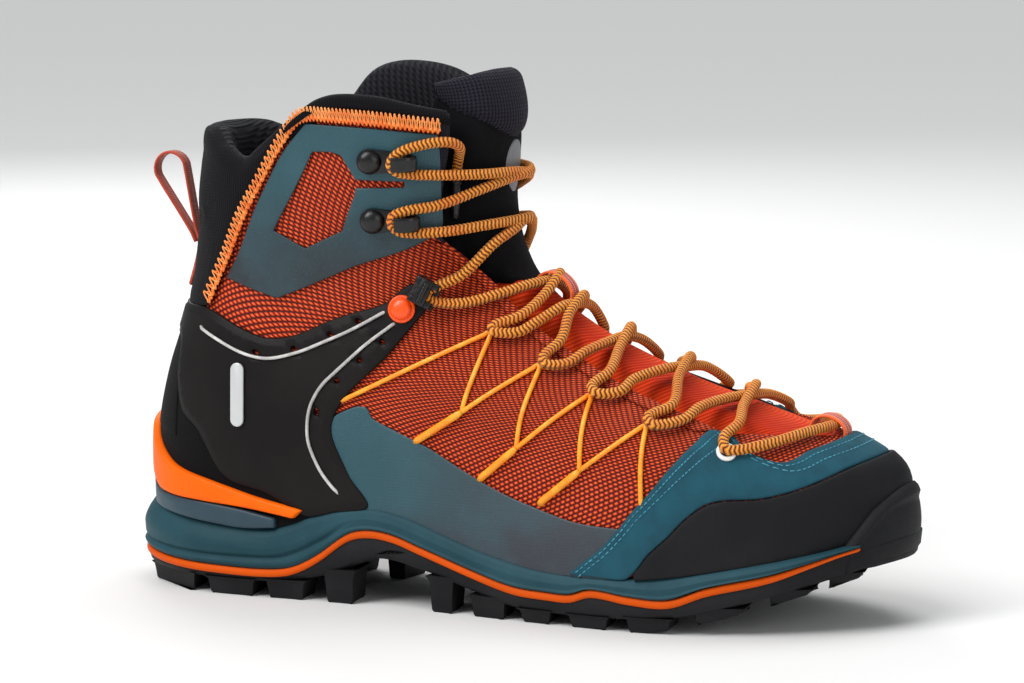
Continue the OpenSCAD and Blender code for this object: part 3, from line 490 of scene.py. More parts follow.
def stitches(edge, away, d, pitch, length, thread):
    """Run of sewn stitches beside an edge of [u, z], the same distance away from it all along."""
    run = evenly(beside(edge, -away), pitch)
    share = length / pitch
    lift = np.array([-0.35, 0.0, 0.12, 0.0, -0.35])
    taper = np.array([0.6, 1, 1, 1, 0.6])
    made = []
    for a, b in zip(run[:-1], run[1:]):
        if distance_to_line([a, b], edge).min() < 0.9 * away:
            continue
        t = np.array([0, 0.12, 0.5, 0.88, 1.0])
        p = a + (b - a) * ((1 - share) / 2 + t * share)[:, None]
        made.append(tube(at(q_of(p[:, 0]), p[:, 1], d + lift), thread * taper, 6))
    return joined(*made)


def zigzag(line, d, near, far, pitch, thread):
    """Thread that swings between two distances to the left of a line of [u, z].

    The distance off the surface, d, is a pair for the two ends of its swing.
    """
    run = evenly(line, pitch / 2)
    swing = np.where(np.arange(len(run)) % 2, far, near)[:, None]
    route = smooth(run + (beside(run, 1.0) - run) * swing, pitch / 9)
    reach = distance_to_line(route, run)
    least = min(abs(near), abs(far))
    share = np.clip((reach - least) / max(abs(abs(far) - abs(near)), 1.0), 0, 1)
    hump = np.abs(np.sin(np.arange(len(route)) / len(route) * np.pi * (len(run) - 1)))
    off = mix(d[0], d[1], share) + 0.15 + 0.25 * hump
    return tube(at(q_of(route[:, 0]), route[:, 1], off), thread, 6)


# ---- Materials ----

def linear(colour, shade=1.0):
    """Scene-linear RGBA of a display colour in hexadecimal."""
    c = [int(colour[k:k + 2], 16) / 255 for k in (0, 2, 4)]
    return (*(shade * (v / 12.92 if v <= 0.04045 else ((v + 0.055) / 1.055) ** 2.4) for v in c), 1)


class Paint:
    """One procedural material, and the few kinds of node that it needs."""

    def __init__(self, name, colour, rough, **sockets):
        self.mat = bpy.data.materials.new(name)
        self.mat.use_nodes = True
        self.tree = self.mat.node_tree
        self.shader = self.tree.nodes["Principled BSDF"]
        self.set(self.shader, "Base Color", colour)
        self.set(self.shader, "Roughness", rough)
        for key, value in sockets.items():
            self.set(self.shader, key.replace("_", " "), value)
        coords = self.tree.nodes.new("ShaderNodeTexCoord")
        self.mm = self.node("VectorMath", {"operation": "MULTIPLY"},
                            {0: coords.outputs["Object"], 1: (1 / MM, 1 / MM, 1 / MM)})

    def set(self, node, key, value):
        """Gives an input a number, a colour or another node's output."""
        if hasattr(value, "is_output"):
            self.tree.links.new(value, node.inputs[key])
        else:
            node.inputs[key].default_value = linear(value) if isinstance(value, str) else value

    def node(self, kind, settings, inputs, out=0):
        n = self.tree.nodes.new("ShaderNode" + kind)
        for key, value in settings.items():
            setattr(n, key, value)
        for key, value in inputs.items():
            self.set(n, key, value)
        return n.outputs[out]

    def math(self, how, *values, clamp=False):
        settings = {"operation": how, "use_clamp": clamp}
        return self.node("Math", settings, dict(enumerate(values)))

    def add(self, a, b):
        return self.math("ADD", a, b)

    def times(self, a, b):
        return self.math("MULTIPLY", a, b)

    def over(self, a, b):
        return self.math("DIVIDE", a, b)

    def scaled(self, value, times, plus=0.0):
        return self.math("MULTIPLY_ADD", value, times, plus)

    def hump(self, share):
        """0 up to 1 and back, while the share goes from 0 to 1."""
        return self.math("SINE", self.times(share, math.pi))

    def wave(self, turns):
        """0 to 1 and back once for each whole number."""
        return self.scaled(self.math("SINE", self.times(turns, 2 * math.pi)), 0.5, 0.5)

    def split(self, vector):
        n = self.tree.nodes.new("ShaderNodeSeparateXYZ")
        self.set(n, 0, vector)
        return n.outputs

    def cloth(self, name="cloth"):
        """The mesh's own coordinates in millimetres."""
        return self.split(self.node("Attribute", {"attribute_name": name}, {}, out=1))

    def noise(self, scale, detail):
        return self.node("TexNoise", {}, {"Vector": self.mm, "Scale": scale, "Detail": detail})

    def mixed(self, share, a, b):
        return self.node("Mix", {"data_type": "RGBA"}, {0: share, 6: a, 7: b}, out=2)

    def span(self, value, low, high, to_low=0.0, to_high=1.0):
        """Smooth step between two values, to a number at each end."""
        ends = {"From Min": low, "From Max": high, "To Min": to_low, "To Max": to_high}
        return self.node("MapRange", {"interpolation_type": "SMOOTHSTEP"},
                         {"Value": value, **ends})

    def bump(self, height, distance):
        relief = self.node("Bump", {}, {"Distance": distance * MM, "Height": height})
        self.set(self.shader, "Normal", relief)

    def colour(self, value):
        self.set(self.shader, "Base Color", value)

    def roughness(self, value):
        self.set(self.shader, "Roughness", value)


def grained(name, base, other, rough, grain, depth, **sockets):
    """Moulded rubber or plastic: a fine grain and a slight cloudiness."""
    p = Paint(name, base, rough, **sockets)
    cloud = p.span(p.noise(0.03, 4), 0.35, 0.7)
    p.colour(p.mixed(cloud, base, other))
    p.roughness(p.scaled(p.noise(grain * 0.6, 2), 0.16, rough - 0.08))
    p.bump(p.noise(grain, 2), depth)
    return p.mat


def knit(name, base, other, pitch_u, pitch_v, depth, rough=0.85):
    """Knitted or ribbed cloth, by the pitch of its rows round the foot and up it; its raised rows
    are painted lighter and its gaps darker, as painted highlight and painted shade.
    """
    p = Paint(name, base, rough, Sheen_Weight=0.03, Sheen_Roughness=0.5, Specular_IOR_Level=0.12)
    u, v, _ = p.cloth()
    row = p.wave(p.over(u, pitch_u))
    stitch = p.wave(p.add(p.over(v, pitch_v), p.scaled(row, 0.35)))
    relief = p.add(p.scaled(row, 0.6), p.scaled(stitch, 0.4))
    fuzz = p.noise(3.5, 2)
    # Painted highlight on the raised rows and painted shade in the gaps, with a random fuzz in the
    # tone.
    light = p.math("MULTIPLY", relief, p.scaled(fuzz, 0.8, 0.5), clamp=True)
    p.colour(p.mixed(light, base, other))
    p.bump(p.add(relief, p.scaled(fuzz, 0.35)), depth)
    return p.mat


def mesh_fabric():
    """Two-tone woven mesh: staggered raised dots in slanted rows over dark gaps, which are partly
    the cloth's own dark yarn and partly painted shade; the tops of the dots carry a painted
    highlight.
    """
    p = Paint("upper_mesh_cloth", "B5402A", 0.65, Specular_IOR_Level=0.25)
    u, v, _ = p.cloth()
    slant, dot_pitch, row_pitch = math.radians(24), 2.3, 1.5
    c, sn = math.cos(slant), math.sin(slant)
    along = p.add(p.scaled(u, -c / dot_pitch), p.scaled(v, sn / dot_pitch))
    across = p.add(p.scaled(u, sn / row_pitch), p.scaled(v, c / row_pitch))
    shift = p.times(p.math("FLOOR", across), 0.5)
    ca = p.math("FRACT", p.add(along, shift))
    cb = p.math("FRACT", across)
    hump = p.times(p.math("POWER", p.hump(ca), 0.8), p.math("POWER", p.hump(cb), 1.1))
    fine = p.noise(2.4, 2)
    # Darker gaps between the dots: partly the cloth's own dark yarn, partly painted shade.
    tone = p.mixed(p.span(hump, 0.05, 0.6), "3A0A03", "C02E08")
    # Salmon on the tops of the dots is a painted highlight.
    tone = p.mixed(p.span(hump, 0.55, 0.95), tone, "F06A36")
    broad = p.span(p.noise(0.03, 2), 0.3, 0.7)
    deep = p.mixed(p.span(hump, 0.2, 0.9), "4A0B03", "DC420A")
    tone = p.mixed(p.scaled(broad, 0.25), tone, deep)
    p.colour(tone)
    p.bump(p.add(hump, p.scaled(fine, 0.2)), 0.55)
    return p.mat


def suede():
    p = Paint("suede_teal_nap", "155E73", 0.95, Sheen_Weight=0.12, Sheen_Roughness=0.35)
    p.set(p.shader, "Sheen Tint", "3C8DA3")
    nap, fibre = p.noise(0.12, 4), p.noise(5.0, 3)
    tone = p.mixed(p.span(nap, 0.25, 0.75), "0B3F4E", "104E5E")
    tone = p.mixed(p.span(fibre, 0.55, 0.75, 0, 0.2), tone, "1F6272")
    p.colour(tone)
    p.bump(p.add(p.scaled(nap, 0.5), p.scaled(fibre, 0.5)), 0.22)
    return p.mat


def film(name, low_x, high_x, low_z, high_z, dark, low_tone):
    """Welded film whose teal darkens towards the toe and the sole, over a trace of the weave."""
    p = Paint(name, "2E5B66", 0.5)
    x, _, z = p.split(p.mm)
    tone = p.mixed(p.span(x, low_x, high_x), "1C4852", "343B42")
    low = p.span(z, low_z, high_z, dark, 0.0)
    tone = p.mixed(low, tone, low_tone)
    tone = p.mixed(p.span(p.noise(0.05, 3), 0.4, 0.75, 0, 0.3), tone, "2F5B67")
    speck = p.noise(1.6, 3)
    tone = p.mixed(p.span(speck, 0.55, 0.8, 0, 0.35), tone, "3C6A75")
    p.colour(tone)
    p.roughness(p.scaled(speck, 0.25, 0.38))
    u, v, _ = p.cloth()
    weave = p.times(p.wave(p.over(u, 1.15)), p.wave(p.over(v, 1.15)))
    p.bump(p.add(p.scaled(weave, 0.4), speck), 0.12)
    return p.mat


def braid():
    """Round braid: golden chevrons with dark tracers between them, and a painted highlight on the
    crest of each chevron.
    """
    p = Paint("lace_braid", "E59A26", 0.65, Sheen_Weight=0.1, Sheen_Roughness=0.4)
    s, turn, _ = p.cloth("braid")
    zig = p.math("ABSOLUTE", p.scaled(p.math("FRACT", p.times(turn, 3.0)), 2.0, -1.0))
    ring = p.math("FRACT", p.add(p.over(s, 1.5), p.scaled(zig, 0.45)))
    hump = p.hump(ring)
    strand = p.wave(p.times(turn, 18.0))
    tone = p.mixed(p.span(hump, 0.24, 0.52), "241006", "CF6E0E")
    # The paler gold on the crest of each chevron is a painted highlight.
    tone = p.mixed(p.span(hump, 0.72, 1.0), tone, "EDA02F")
    broad = p.span(p.noise(0.08, 2), 0.45, 0.7, 0, 0.55)
    tone = p.mixed(broad, tone, p.mixed(p.span(hump, 0.25, 0.5), "5A2A08", "DA6A10"))
    p.colour(tone)
    p.bump(p.add(hump, p.scaled(strand, 0.15)), 0.4)
    return p.mat


def cord_coat(name, base, light):
    p = Paint(name, base, 0.45, Coat_Weight=0.15)
    p.colour(p.mixed(p.span(p.noise(0.2, 3), 0.35, 0.7), base, light))
    p.bump(p.noise(2.5, 2), 0.06)
    return p.mat


def webbing(name, base, stripe, width):
    """Narrow woven band with stripes along it; cloth coordinates run across and along."""
    p = Paint(name, base, 0.7, Sheen_Weight=0.3)
    u, v, _ = p.cloth()
    from_line = p.math("ABSOLUTE", p.math("SUBTRACT", p.math("ABSOLUTE", u), width * 0.14))
    line = p.math("LESS_THAN", from_line, width * 0.07)
    weave = p.wave(p.over(v, 0.7))
    tone = p.mixed(line, base, stripe)
    p.colour(p.mixed(p.scaled(weave, 0.35), tone, linear(base, 0.55)))
    p.bump(weave, 0.15)
    return p.mat


def worn_metal(name, base, bare, rough, metallic=0.0):
    p = Paint(name, base, rough, Metallic=metallic)
    spots = p.span(p.noise(1.2, 5), 0.62, 0.75)
    p.colour(p.mixed(p.times(spots, 0.4), base, bare))
    p.roughness(p.scaled(p.noise(0.9, 3), 0.3, rough - 0.12))
    p.bump(p.noise(1.6, 2), 0.05)
    return p.mat


MATT = {"Specular_IOR_Level": 0.14}
MATERIALS = {
    "rubber": grained("outsole_rubber_black", "19191B", "242426", 0.62, 1.2, 0.1, **MATT),
    "accent": grained("accent_rubber_orange", "D85200", "CE4E00", 0.55, 1.0, 0.03, **MATT),
    "midsole": grained("midsole_foam_teal", "1D3E47", "274A54", 0.55, 0.9, 0.1, **MATT),
    "cradle": grained("cradle_plastic_navy", "1E3744", "26424F", 0.5, 1.0, 0.05),
    "insert": grained("insert_plastic_orange", "F86200", "F87000", 0.5, 0.8, 0.04, **MATT),
    "rand": grained("rand_rubber_grey", "171719", "1E1E20", 0.62, 1.6, 0.09, **MATT),
    "cage": grained("cage_plastic_black", "120F0F", "1A1716", 0.5, 1.3, 0.07, **MATT),
    "mesh": mesh_fabric(),
    "suede": suede(),
    "film": film("film_teal_side", -50, 30, 22, 42, 0.75, "2B2E36"),
    "ankle_film": film("film_teal_ankle", 20, 140, 112, 160, 1.0, "1B2329"),
    "collar": knit("collar_knit_black", "060607", "131217", 1.1, 1.1, 0.16),
    "tongue_plain": knit("tongue_plain_black", "050506", "0D0D11", 0.9, 0.9, 0.1),
    "tongue_rib": knit("tongue_rib_black", "0C0B11", "302E3A", 1.9, 1.3, 0.5),
    "lining": knit("lining_mesh_black", "0A0A0C", "2A2A31", 2.6, 2.2, 0.6),
    "backstay": knit("backstay_knit_black", "030304", "0A0A0C", 0.9, 0.9, 0.1),
    "tongue_orange": knit("tongue_knit_orange", "A81902", "FA5210", 60.0, 1.7, 0.55, 0.7),
    "braid": braid(),
    "tension": cord_coat("tension_cord_orange", "FF9208", "FFAE2A"),
    "cable": cord_coat("cage_cable_grey", "A9A6A4", "D2CFCC"),
    "binding": knit("throat_knit_black", "141318", "2C2B33", 1.0, 1.0, 0.15),
    "keeper": webbing("keeper_webbing_orange", "FF6A1E", "5A2A50", 8.0),
    "loop": webbing("loop_webbing_red", "C23E14", "8C220C", 8.0),
    "zig": cord_coat("zigzag_thread_orange", "F0660F", "FF8F30"),
    "pale": cord_coat("zigzag_thread_light", "F28A3C", "FFA85C"),
    "thread": cord_coat("stitch_thread_teal", "256F86", "3F8FA5"),
    "black_metal": worn_metal("hook_metal_black", "08080A", "26262A", 0.3, 0.1),
    "eyelet": worn_metal("eyelet_enamel_white", "E9E9E4", "B8B8B2", 0.3, 0.1),
    "rivet": worn_metal("rivet_enamel_orange", "FF5208", "F03C02", 0.28),
    "tip": cord_coat("lace_tip_black", "121212", "222222"),
    "reflective": worn_metal("reflective_film", "C9CBCB", "9FA3A5", 0.35, 0.3),
    "badge": worn_metal("badge_film_grey", "77797D", "5C5E63", 0.5, 0.1),
    "footbed": knit("footbed_cloth_grey", "2A2A2E", "55555C", 1.2, 1.2, 0.2),
    "board": grained("board_fibre", "BBAF93", "A69A7F", 0.8, 0.8, 0.1),
    "stiffener": grained("stiffener_sheet", "A79878", "8E8064", 0.8, 0.8, 0.1),
    "steel": worn_metal("shank_steel", "B9BABC", "8F9092", 0.3, 1.0),
}


# ---- Pieces ----

def place(points):
    return (np.asarray(points, float) - ORIGIN) * MM


def added(name, data):
    """A new object in the scene."""
    thing = bpy.data.objects.new(name, data)
    bpy.context.scene.collection.objects.link(thing)
    return thing


def make(name, mesh, paint, nodes=(), body="boot", attributes=None, sharp_angle=None):
    """A Blender object of the mesh, which rides on a body and stands for CAD nodes."""
    points, faces = mesh
    data = bpy.data.meshes.new(name)
    data.from_pydata(place(points).tolist(), [], [list(map(int, f)) for f in faces])
    data.update()
    data.polygons.foreach_set("use_smooth", [True] * len(data.polygons))
    for key, values in (attributes or {}).items():
        layer = data.attributes.new(key, "FLOAT_VECTOR", "POINT")
        layer.data.foreach_set("vector", np.asarray(values, float).ravel())
    piece = added(name, data)
    data.materials.append(MATERIALS[paint])
    if volume(points, faces) < 0:
        data.flip_normals()
    if sharp_angle:
        data.set_sharp_from_angle(angle=math.radians(sharp_angle))
    if body:
        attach(piece, body)
    if nodes:
        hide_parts(*nodes)
    return piece


def swell(piece, voxel, cap):
    """Fills a pad: cloth under pressure on a coarse copy, whose capped move the piece takes."""
    scene = bpy.context.scene
    copy = added("swelling", piece.data.copy())
    remesh = copy.modifiers.new("remesh", "REMESH")
    remesh.mode, remesh.voxel_size = "VOXEL", voxel * MM
    graph = bpy.context.evaluated_depsgraph_get()
    coarse = bpy.data.meshes.new_from_object(copy.evaluated_get(graph))
    copy.modifiers.clear()
    copy.data = coarse
    slack = vertices(coarse)
    cloth = copy.modifiers.new("cloth", "CLOTH")
    cloth.settings.quality = 4
    cloth.settings.use_pressure = True
    cloth.settings.uniform_pressure_force = 4
    cloth.settings.effector_weights.gravity = 0
    for number in range(1, 21):
        scene.frame_set(number)
    full = vertices(copy.evaluated_get(bpy.context.evaluated_depsgraph_get()).data)
    scene.frame_set(1)
    bpy.data.objects.remove(copy)
    move = full - slack
    length = np.linalg.norm(move, axis=1, keepdims=True)
    move = move * np.minimum(1, cap * MM / np.maximum(length, 1e-9))
    tree = KDTree(len(slack))
    for k, point in enumerate(slack):
        tree.insert(point, k)
    tree.balance()
    points = vertices(piece.data)
    for k, point in enumerate(points):
        near = tree.find_n(point, 6)
        weight = np.array([math.exp(-(far / (0.7 * voxel * MM)) ** 2) for _, _, far in near])
        points[k] = point + weight @ move[[index for _, index, _ in near]] / max(weight.sum(), 0.3)
    piece.data.vertices.foreach_set("co", points.ravel())
    piece.data.update()


def vertices(data):
    points = np.empty(3 * len(data.vertices))
    data.vertices.foreach_get("co", points)
    return points.reshape(-1, 3)


def volume(points, faces):
    """Volume inside the faces, which is negative where they look inwards."""
    p = points - np.mean(points, axis=0)
    fans = np.array([(f[0], f[k], f[k + 1]) for f in faces for k in range(1, len(f) - 1)])
    return np.sum(p[fans[:, 0]] * np.cross(p[fans[:, 1]], p[fans[:, 2]])) / 6


GRID_Q, GRID_Z = 120, 90
GRID_LOW, GRID_HIGH = 20, 200


def lengths_on_skin():
    """Lengths along the surface: round the foot from its side, and up it, by |q| and z."""
    q, z = np.meshgrid(np.linspace(0, 1, GRID_Q + 1),
                       np.linspace(GRID_LOW, GRID_HIGH, GRID_Z + 1), indexing="ij")
    p = skin(-q, z)
    around, up = np.zeros_like(q), np.zeros_like(q)
    around[1:] = np.cumsum(np.linalg.norm(np.diff(p, axis=0), axis=2), axis=0)
    up[:, 1:] = np.cumsum(np.linalg.norm(np.diff(p, axis=1), axis=2), axis=1)
    return around - around[GRID_Q // 2], up


AROUND, UP = lengths_on_skin()


def from_grid(grid, q, z):
    """Value of a grid over |q| and z."""
    a = np.clip(np.abs(q) * GRID_Q, 0, GRID_Q - 0.001)
    b = np.clip((z - GRID_LOW) / (GRID_HIGH - GRID_LOW) * GRID_Z, 0, GRID_Z - 0.001)
    i, j = a.astype(int), b.astype(int)
    fa, fb = a - i, b - j
    near, far = (mix(grid[i, k], grid[i + 1, k], fa) for k in (j, j + 1))
    return mix(near, far, fb)


def cloth_at(q, z):
    """Cloth coordinates, as lengths along the surface round the foot and up it."""
    q, z = np.ravel(fold(q)), np.ravel(z)
    return np.column_stack([from_grid(AROUND, q, z), from_grid(UP, q, z), 0 * q])


def cloth_of(points):
    """Cloth coordinates of points near the surface."""
    p = np.asarray(points, float)
    return cloth_at(q_at(p[:, 0], p[:, 2]), p[:, 2])


def panel_piece(name, outline, thick, paint, slot, nodes=(), holes=(), d0=GAP, height=None,
                **more):
    mesh = panel(outline, height or round_edge(thick), holes, d0, **more)
    return make(name, mesh, paint, nodes, attributes={"cloth": cloth_of(mesh[0])})


# ---- Stage: camera, floor and light ----

def aim(obj, where, target):
    obj.location = Vector(where)
    obj.rotation_euler = (Vector(target) - Vector(where)).to_track_quat("-Z", "Y").to_euler()


VIEW_AZIMUTH, VIEW_HEIGHT = math.radians(22), math.radians(11)
VIEW_DISTANCE = 1.5  # metres from the foot point, along the view
VIEW_FOOT, VIEW_TARGET = [150.0, 0.0, 0.0], [133.25, 12.4, 91.6]
LENS_MM = 145.5


def camera():
    """The photo's view: 22 degrees round towards the toe and 11 degrees above the floor."""
    flat = math.cos(VIEW_HEIGHT)
    back = np.array([math.sin(VIEW_AZIMUTH) * flat, -math.cos(VIEW_AZIMUTH) * flat,
                     math.sin(VIEW_HEIGHT)])
    data = bpy.data.cameras.new("camera")
    data.lens = LENS_MM
    data.clip_start, data.clip_end = 0.05, 50
    cam = added("camera", data)
    aim(cam, place(VIEW_FOOT) + VIEW_DISTANCE * back, place(VIEW_TARGET))
    bpy.context.scene.camera = cam


def light(name, where, size, power):
    data = bpy.data.lights.new(name, "AREA")
    data.shape, data.size, data.energy = "DISK", size, power
    aim(added(name, data), where, (0.0, 0.0, 0.08))


def stage():
    """Floor, world and lamps."""
    half = 15.0
    data = bpy.data.meshes.new("floor")
    data.from_pydata([(-half, -half, 0), (half, -half, 0), (half, half, 0), (-half, half, 0)], [],
                     [(0, 1, 2, 3)])
    floor = added("floor", data)
    data.materials.append(Paint("floor_plain", (0.78, 0.78, 0.77, 1), 0.9).mat)
    world = bpy.data.worlds.new("studio")
    bpy.context.scene.world = world
    world.use_nodes = True
    sky = world.node_tree.nodes["Background"]
    sky.inputs["Color"].default_value = (0.95, 0.97, 1.0, 1)
    sky.inputs["Strength"].default_value = 0.36
    light("key", (-0.75, -1.25, 1.15), 0.8, 13)
    light("fill", (1.3, -0.9, 0.6), 1.0, 5)
    light("top", (0.1, 0.5, 1.5), 1.0, 8)
    light("back", (-0.9, 1.2, 0.9), 0.9, 7)
    sun = bpy.data.lights.new("sun", "SUN")
    sun.energy, sun.angle = 1.5, math.radians(35)
    aim(added("sun", sun), (-0.5, -0.9, 1.6), (0.0, 0.0, 0.0))
    bpy.context.scene.view_settings.view_transform = "Standard"


# ---- Sole ----

LOOP_Q = np.linspace(-1, 1, 361)[:-1]


def sole_round(x, inset_by, tip=SOLE_FRONT):
    """Share of the sole's half width that is left at x, which falls to 0 at its ends."""
    x0, x1 = SOLE_BACK + inset_by, tip - inset_by
    back = np.clip((x - x0) / 42, 0, 1)
    front = np.clip((x1 - x) / 85, 0, 1)
    return ((1 - (1 - back) ** 2.3) * (1 - (1 - front) ** 2.2)) ** (1 / 2.2)


def sole_at(q, inset_by, z_line, lift=0.0):
    """Point of the sole's outline, inset from its edge, on a line of heights."""
    x0, x1 = SOLE_BACK + inset_by, SOLE_FRONT - inset_by
    x = x0 + (x1 - x0) * (1 + np.cos(np.pi * q)) / 2
    outer = np.sin(np.pi * q) < 0
    half = np.where(outer, curve(SOLE_OUTER_HALF, x), curve(SOLE_INNER_HALF, x)) - inset_by
    y = curve(CENTRE_LINE, x) + half * sole_round(x, inset_by) * np.where(outer, OUTER, INNER)
    x = x - TOE_SET_BACK * ease(245, SOLE_FRONT, x)
    return np.stack([x, y, curve(z_line, x) + lift], axis=-1)


def foot_loop(d, z_line, lift=0.0):
    """Closed loop round the foot at a depth, on a line of heights."""
    z = curve(z_line, foot_x(LOOP_Q)) + lift
    p = at(LOOP_Q, np.maximum(z, 26), d)
    return np.column_stack([p[:, 0], p[:, 1], z])


def ground(x):
    return np.maximum(curve(GROUND_LINE, x), 0)


def lug(x0, x1, y0, y1):
    """Block between two stations with chamfered edges, flared where it meets the sole."""
    middle = (x0 + x1) / 2
    top = curve(PLATE_LINE, middle) - ground(middle) + 1.2
    corners = [[x0, y0[0]], [x1, y0[1]], [x1 - 2, y1[1]], [x0 + 2, y1[0]]]
    outline = smooth(corners, 1.2, closed=True, sharp=(0, 1, 2, 3))
    outline = outline if area(outline) > 0 else outline[::-1]
    rings = []
    for move, z in ((1.9, 0.0), (1.25, 0.25), (0.9, 0.9), (0.5, 0.55 * top), (0.1, 0.85 * top),
                    (-0.9, top)):
        loop = inset(outline, move)
        base = mix(ground(loop[:, 0]), ground(middle), z / top)
        rings.append(np.column_stack([loop, base + z]))
    return loft(rings)


LUG_SPANS = [[2, 27], [33, 52], [57, 72], [80, 92], [122, 132], [139, 153], [159, 171],
             [178, 193], [200, 216], [224, 240], [248, 261], [266, 276]]
MIDDLE_LUGS = [[14, 30], [40, 54], [146, 160], [166, 180], [186, 200], [206, 220], [226, 240]]
LUG_IN = 17
BUMPER_Q = 0.15


def behind_bumper(q):
    """How far the layers of the sole stand back where the toe bumper covers them."""
    return 7 * (1 - ease(0.115, BUMPER_Q - 0.004, np.abs(q)))


def bumper():
    """Band that wraps up from the outsole over the toe, with a raised border."""
    n, rows, d0 = 96, 26, GAP + RAND_T + 0.3
    i, j = np.meshgrid(np.linspace(-1, 1, n + 1), np.linspace(0, 1, rows + 1), indexing="ij")
    q = i * BUMPER_Q
    low = 26.0 - 3.6 * i**2
    high = mix(49.5, 31.0, np.abs(i) ** 2.6)
    z = mix(low, high, j)
    from_top = (1 - j) * (high - low)
    end = np.sqrt(1 - (1 - np.clip((1 - np.abs(i)) / 0.03, 0, 1)) ** 2)
    thick = mix(3.4, 1.5, j**2) * (0.35 + 0.65 * end)
    thick = thick * np.sqrt(1 - (1 - np.clip(from_top / 1.6, 0.05, 1)) ** 2)
    ridge = 0.45 * np.exp(-((from_top - 2.6) / 0.9) ** 2) - 0.35 * ease(3.6, 5.4, from_top)
    return sheet(at(q, z, d0 + thick + ridge * end), at(q, z, d0 - 0.2))


def stripe_drop():
    """Height of the bright stripe round the sole; it thins towards the toe."""
    return STRIPE_T * mix(0.45, 1, ease(0.16, 0.29, np.abs(LOOP_Q)))


def outsole():
    drop = stripe_drop()
    parts = [loft([sole_at(LOOP_Q, a, line, lift) for a, line, lift in (
        (12, PLATE_LINE, 0), (8, PLATE_LINE, 0.1), (4.4, PLATE_LINE, 0.5), (3, PLATE_LINE, 1.2),
        (2.2, PLATE_LINE, 2.2), (1.7, STRIPE_LINE, -drop - 0.4), (1.8, STRIPE_LINE, -drop))])]
    for side, table in ((OUTER, SOLE_OUTER_HALF), (INNER, SOLE_INNER_HALF)):
        for span in np.array(LUG_SPANS, float):
            half = sole_round(span, 3, SOLE_FRONT - TOE_SET_BACK) * (curve(table, span) - 3)
            y = curve(CENTRE_LINE, span) + side * half
            parts.append(lug(*span, y, y - side * np.minimum(LUG_IN, 0.7 * abs(y))))
    for x0, x1 in MIDDLE_LUGS:
        y = float(curve(CENTRE_LINE, x0))
        parts.append(lug(x0, x1, [y - 10, y - 7], [y + 10, y + 7]))
    make("outsole_tread", joined(*parts), "rubber", ["outsole"], sharp_angle=38)
    make("toe_bumper", bumper(), "rubber")


def accent_stripe():
    drop = stripe_drop()
    rings = [sole_at(LOOP_Q, a + behind_bumper(LOOP_Q), STRIPE_LINE, -share * drop)
             for a, share in ((6, 1), (1.8, 1), (1.2, 0.93), (0.85, 0.77), (0.75, 0.5),
                              (0.85, 0.23), (1.2, 0.07), (1.8, 0), (6, 0))]
    make("stripe_layer", loft(rings), "accent", ["accent_stripe"])


GROOVE_LINE = [[-6, 17.2], [20, 15.2], [55, 15], [66, 16.7], [81, 24], [92, 31.5]]
WALL_INSET = [[0, 1.8], [0.03, 0.8], [0.1, 0.1], [0.22, 0.5], [0.5, 0.2], [0.8, 1.0], [0.93, 1.9],
              [1, 3.4]]


def midsole():
    """Foam wall from the stripe to the rim, with a lip, a groove at the heel and a soft shelf."""
    shy = behind_bumper(LOOP_Q)
    rings = [sole_at(LOOP_Q, 6 + shy, STRIPE_LINE)]
    low, high = sole_at(LOOP_Q, shy, STRIPE_LINE), sole_at(LOOP_Q, shy, RIM_LINE)
    x = low[:, 0]
    for s in np.concatenate([[0, 0.02, 0.05], np.linspace(0.08, 0.9, 30), [0.94, 0.97, 0.99, 1.0]]):
        z = mix(low[:, 2], high[:, 2] - 0.4, s)
        groove = 1.1 * np.exp(-((z - curve(GROOVE_LINE, x)) / 0.75) ** 2) * (1 - ease(80, 92, x))
        shelf = 1.5 * (1 - ease(30, 75, x)) * ease(0.55, 0.95, s)
        wall = sole_at(LOOP_Q, lookup(WALL_INSET, s) + groove + shelf + shy, STRIPE_LINE)
        rings.append(np.column_stack([wall[:, :2], z]))
    rings.append(foot_loop(-0.6, RIM_LINE, -0.3))
    rings.append(foot_loop(-3, RIM_LINE, -0.6))
    make("midsole_foam", loft(rings), "midsole", ["midsole"])


# ---- Upper ----

RAND_TOP = [[-0.366, 21.5], [-0.361, 24], [-0.355, 28], [-0.341, 34], [-0.326, 40.6],
            [-0.309, 45.3], [-0.292, 47.2], [-0.255, 47.8], [-0.217, 50], [-0.175, 53],
            [-0.12, 56.3], [-0.06, 58], [0, 58.5]]
OVERLAY_TOP = [[-0.424, 19.6], [-0.413, 23.5], [-0.398, 29], [-0.384, 36], [-0.368, 44],
               [-0.335, 54], [-0.29, 62], [-0.24, 67.5], [-0.213, 69.5], [-0.198, 68.6],
               [-0.217, 62.5], [-0.2, 59.3], [-0.14, 62.4], [-0.07, 64.3], [0, 65]]
OVERLAY_TIP = 8
FILM_HIGH = [[77, 61], [82, 66.5], [93, 72], [98, 72], [100, 68.5], [109, 64.5], [123, 59],
             [135, 53], [151, 46], [167, 41], [179, 38], [188, 37], [203, 36.5]]
FILM_LOW = [[77, 55], [80, 46], [88, 39], [97, 37.5], [103, 37.5], [113, 36], [126, 31.5],
            [139, 28], [152, 25], [164, 23], [173, 22.5], [181, 22.5], [196, 22.5]]
PANEL_EDGE = [[39.8, 115.5], [57, 147], [66, 162], [75.5, 173], [98, 172], [122, 169.8],
              [122.6, 152],
              [122, 136], [89, 121], [61, 109.2]]
PANEL_WINDOW = [[61, 134], [69, 147], [78, 163], [85, 163], [89, 162], [94, 153.5], [111, 153],
                [111, 151], [94, 150.5], [93, 147], [88, 135], [73, 128]]
ZIGZAG_LINE = [[32.5, 106], [37.5, 116], [46, 132.5], [55.5, 148.5], [64.5, 163], [72.5, 173.5],
               [77.5, 175.6], [84, 175.6], [103, 174.3], [122.6, 171.6]]
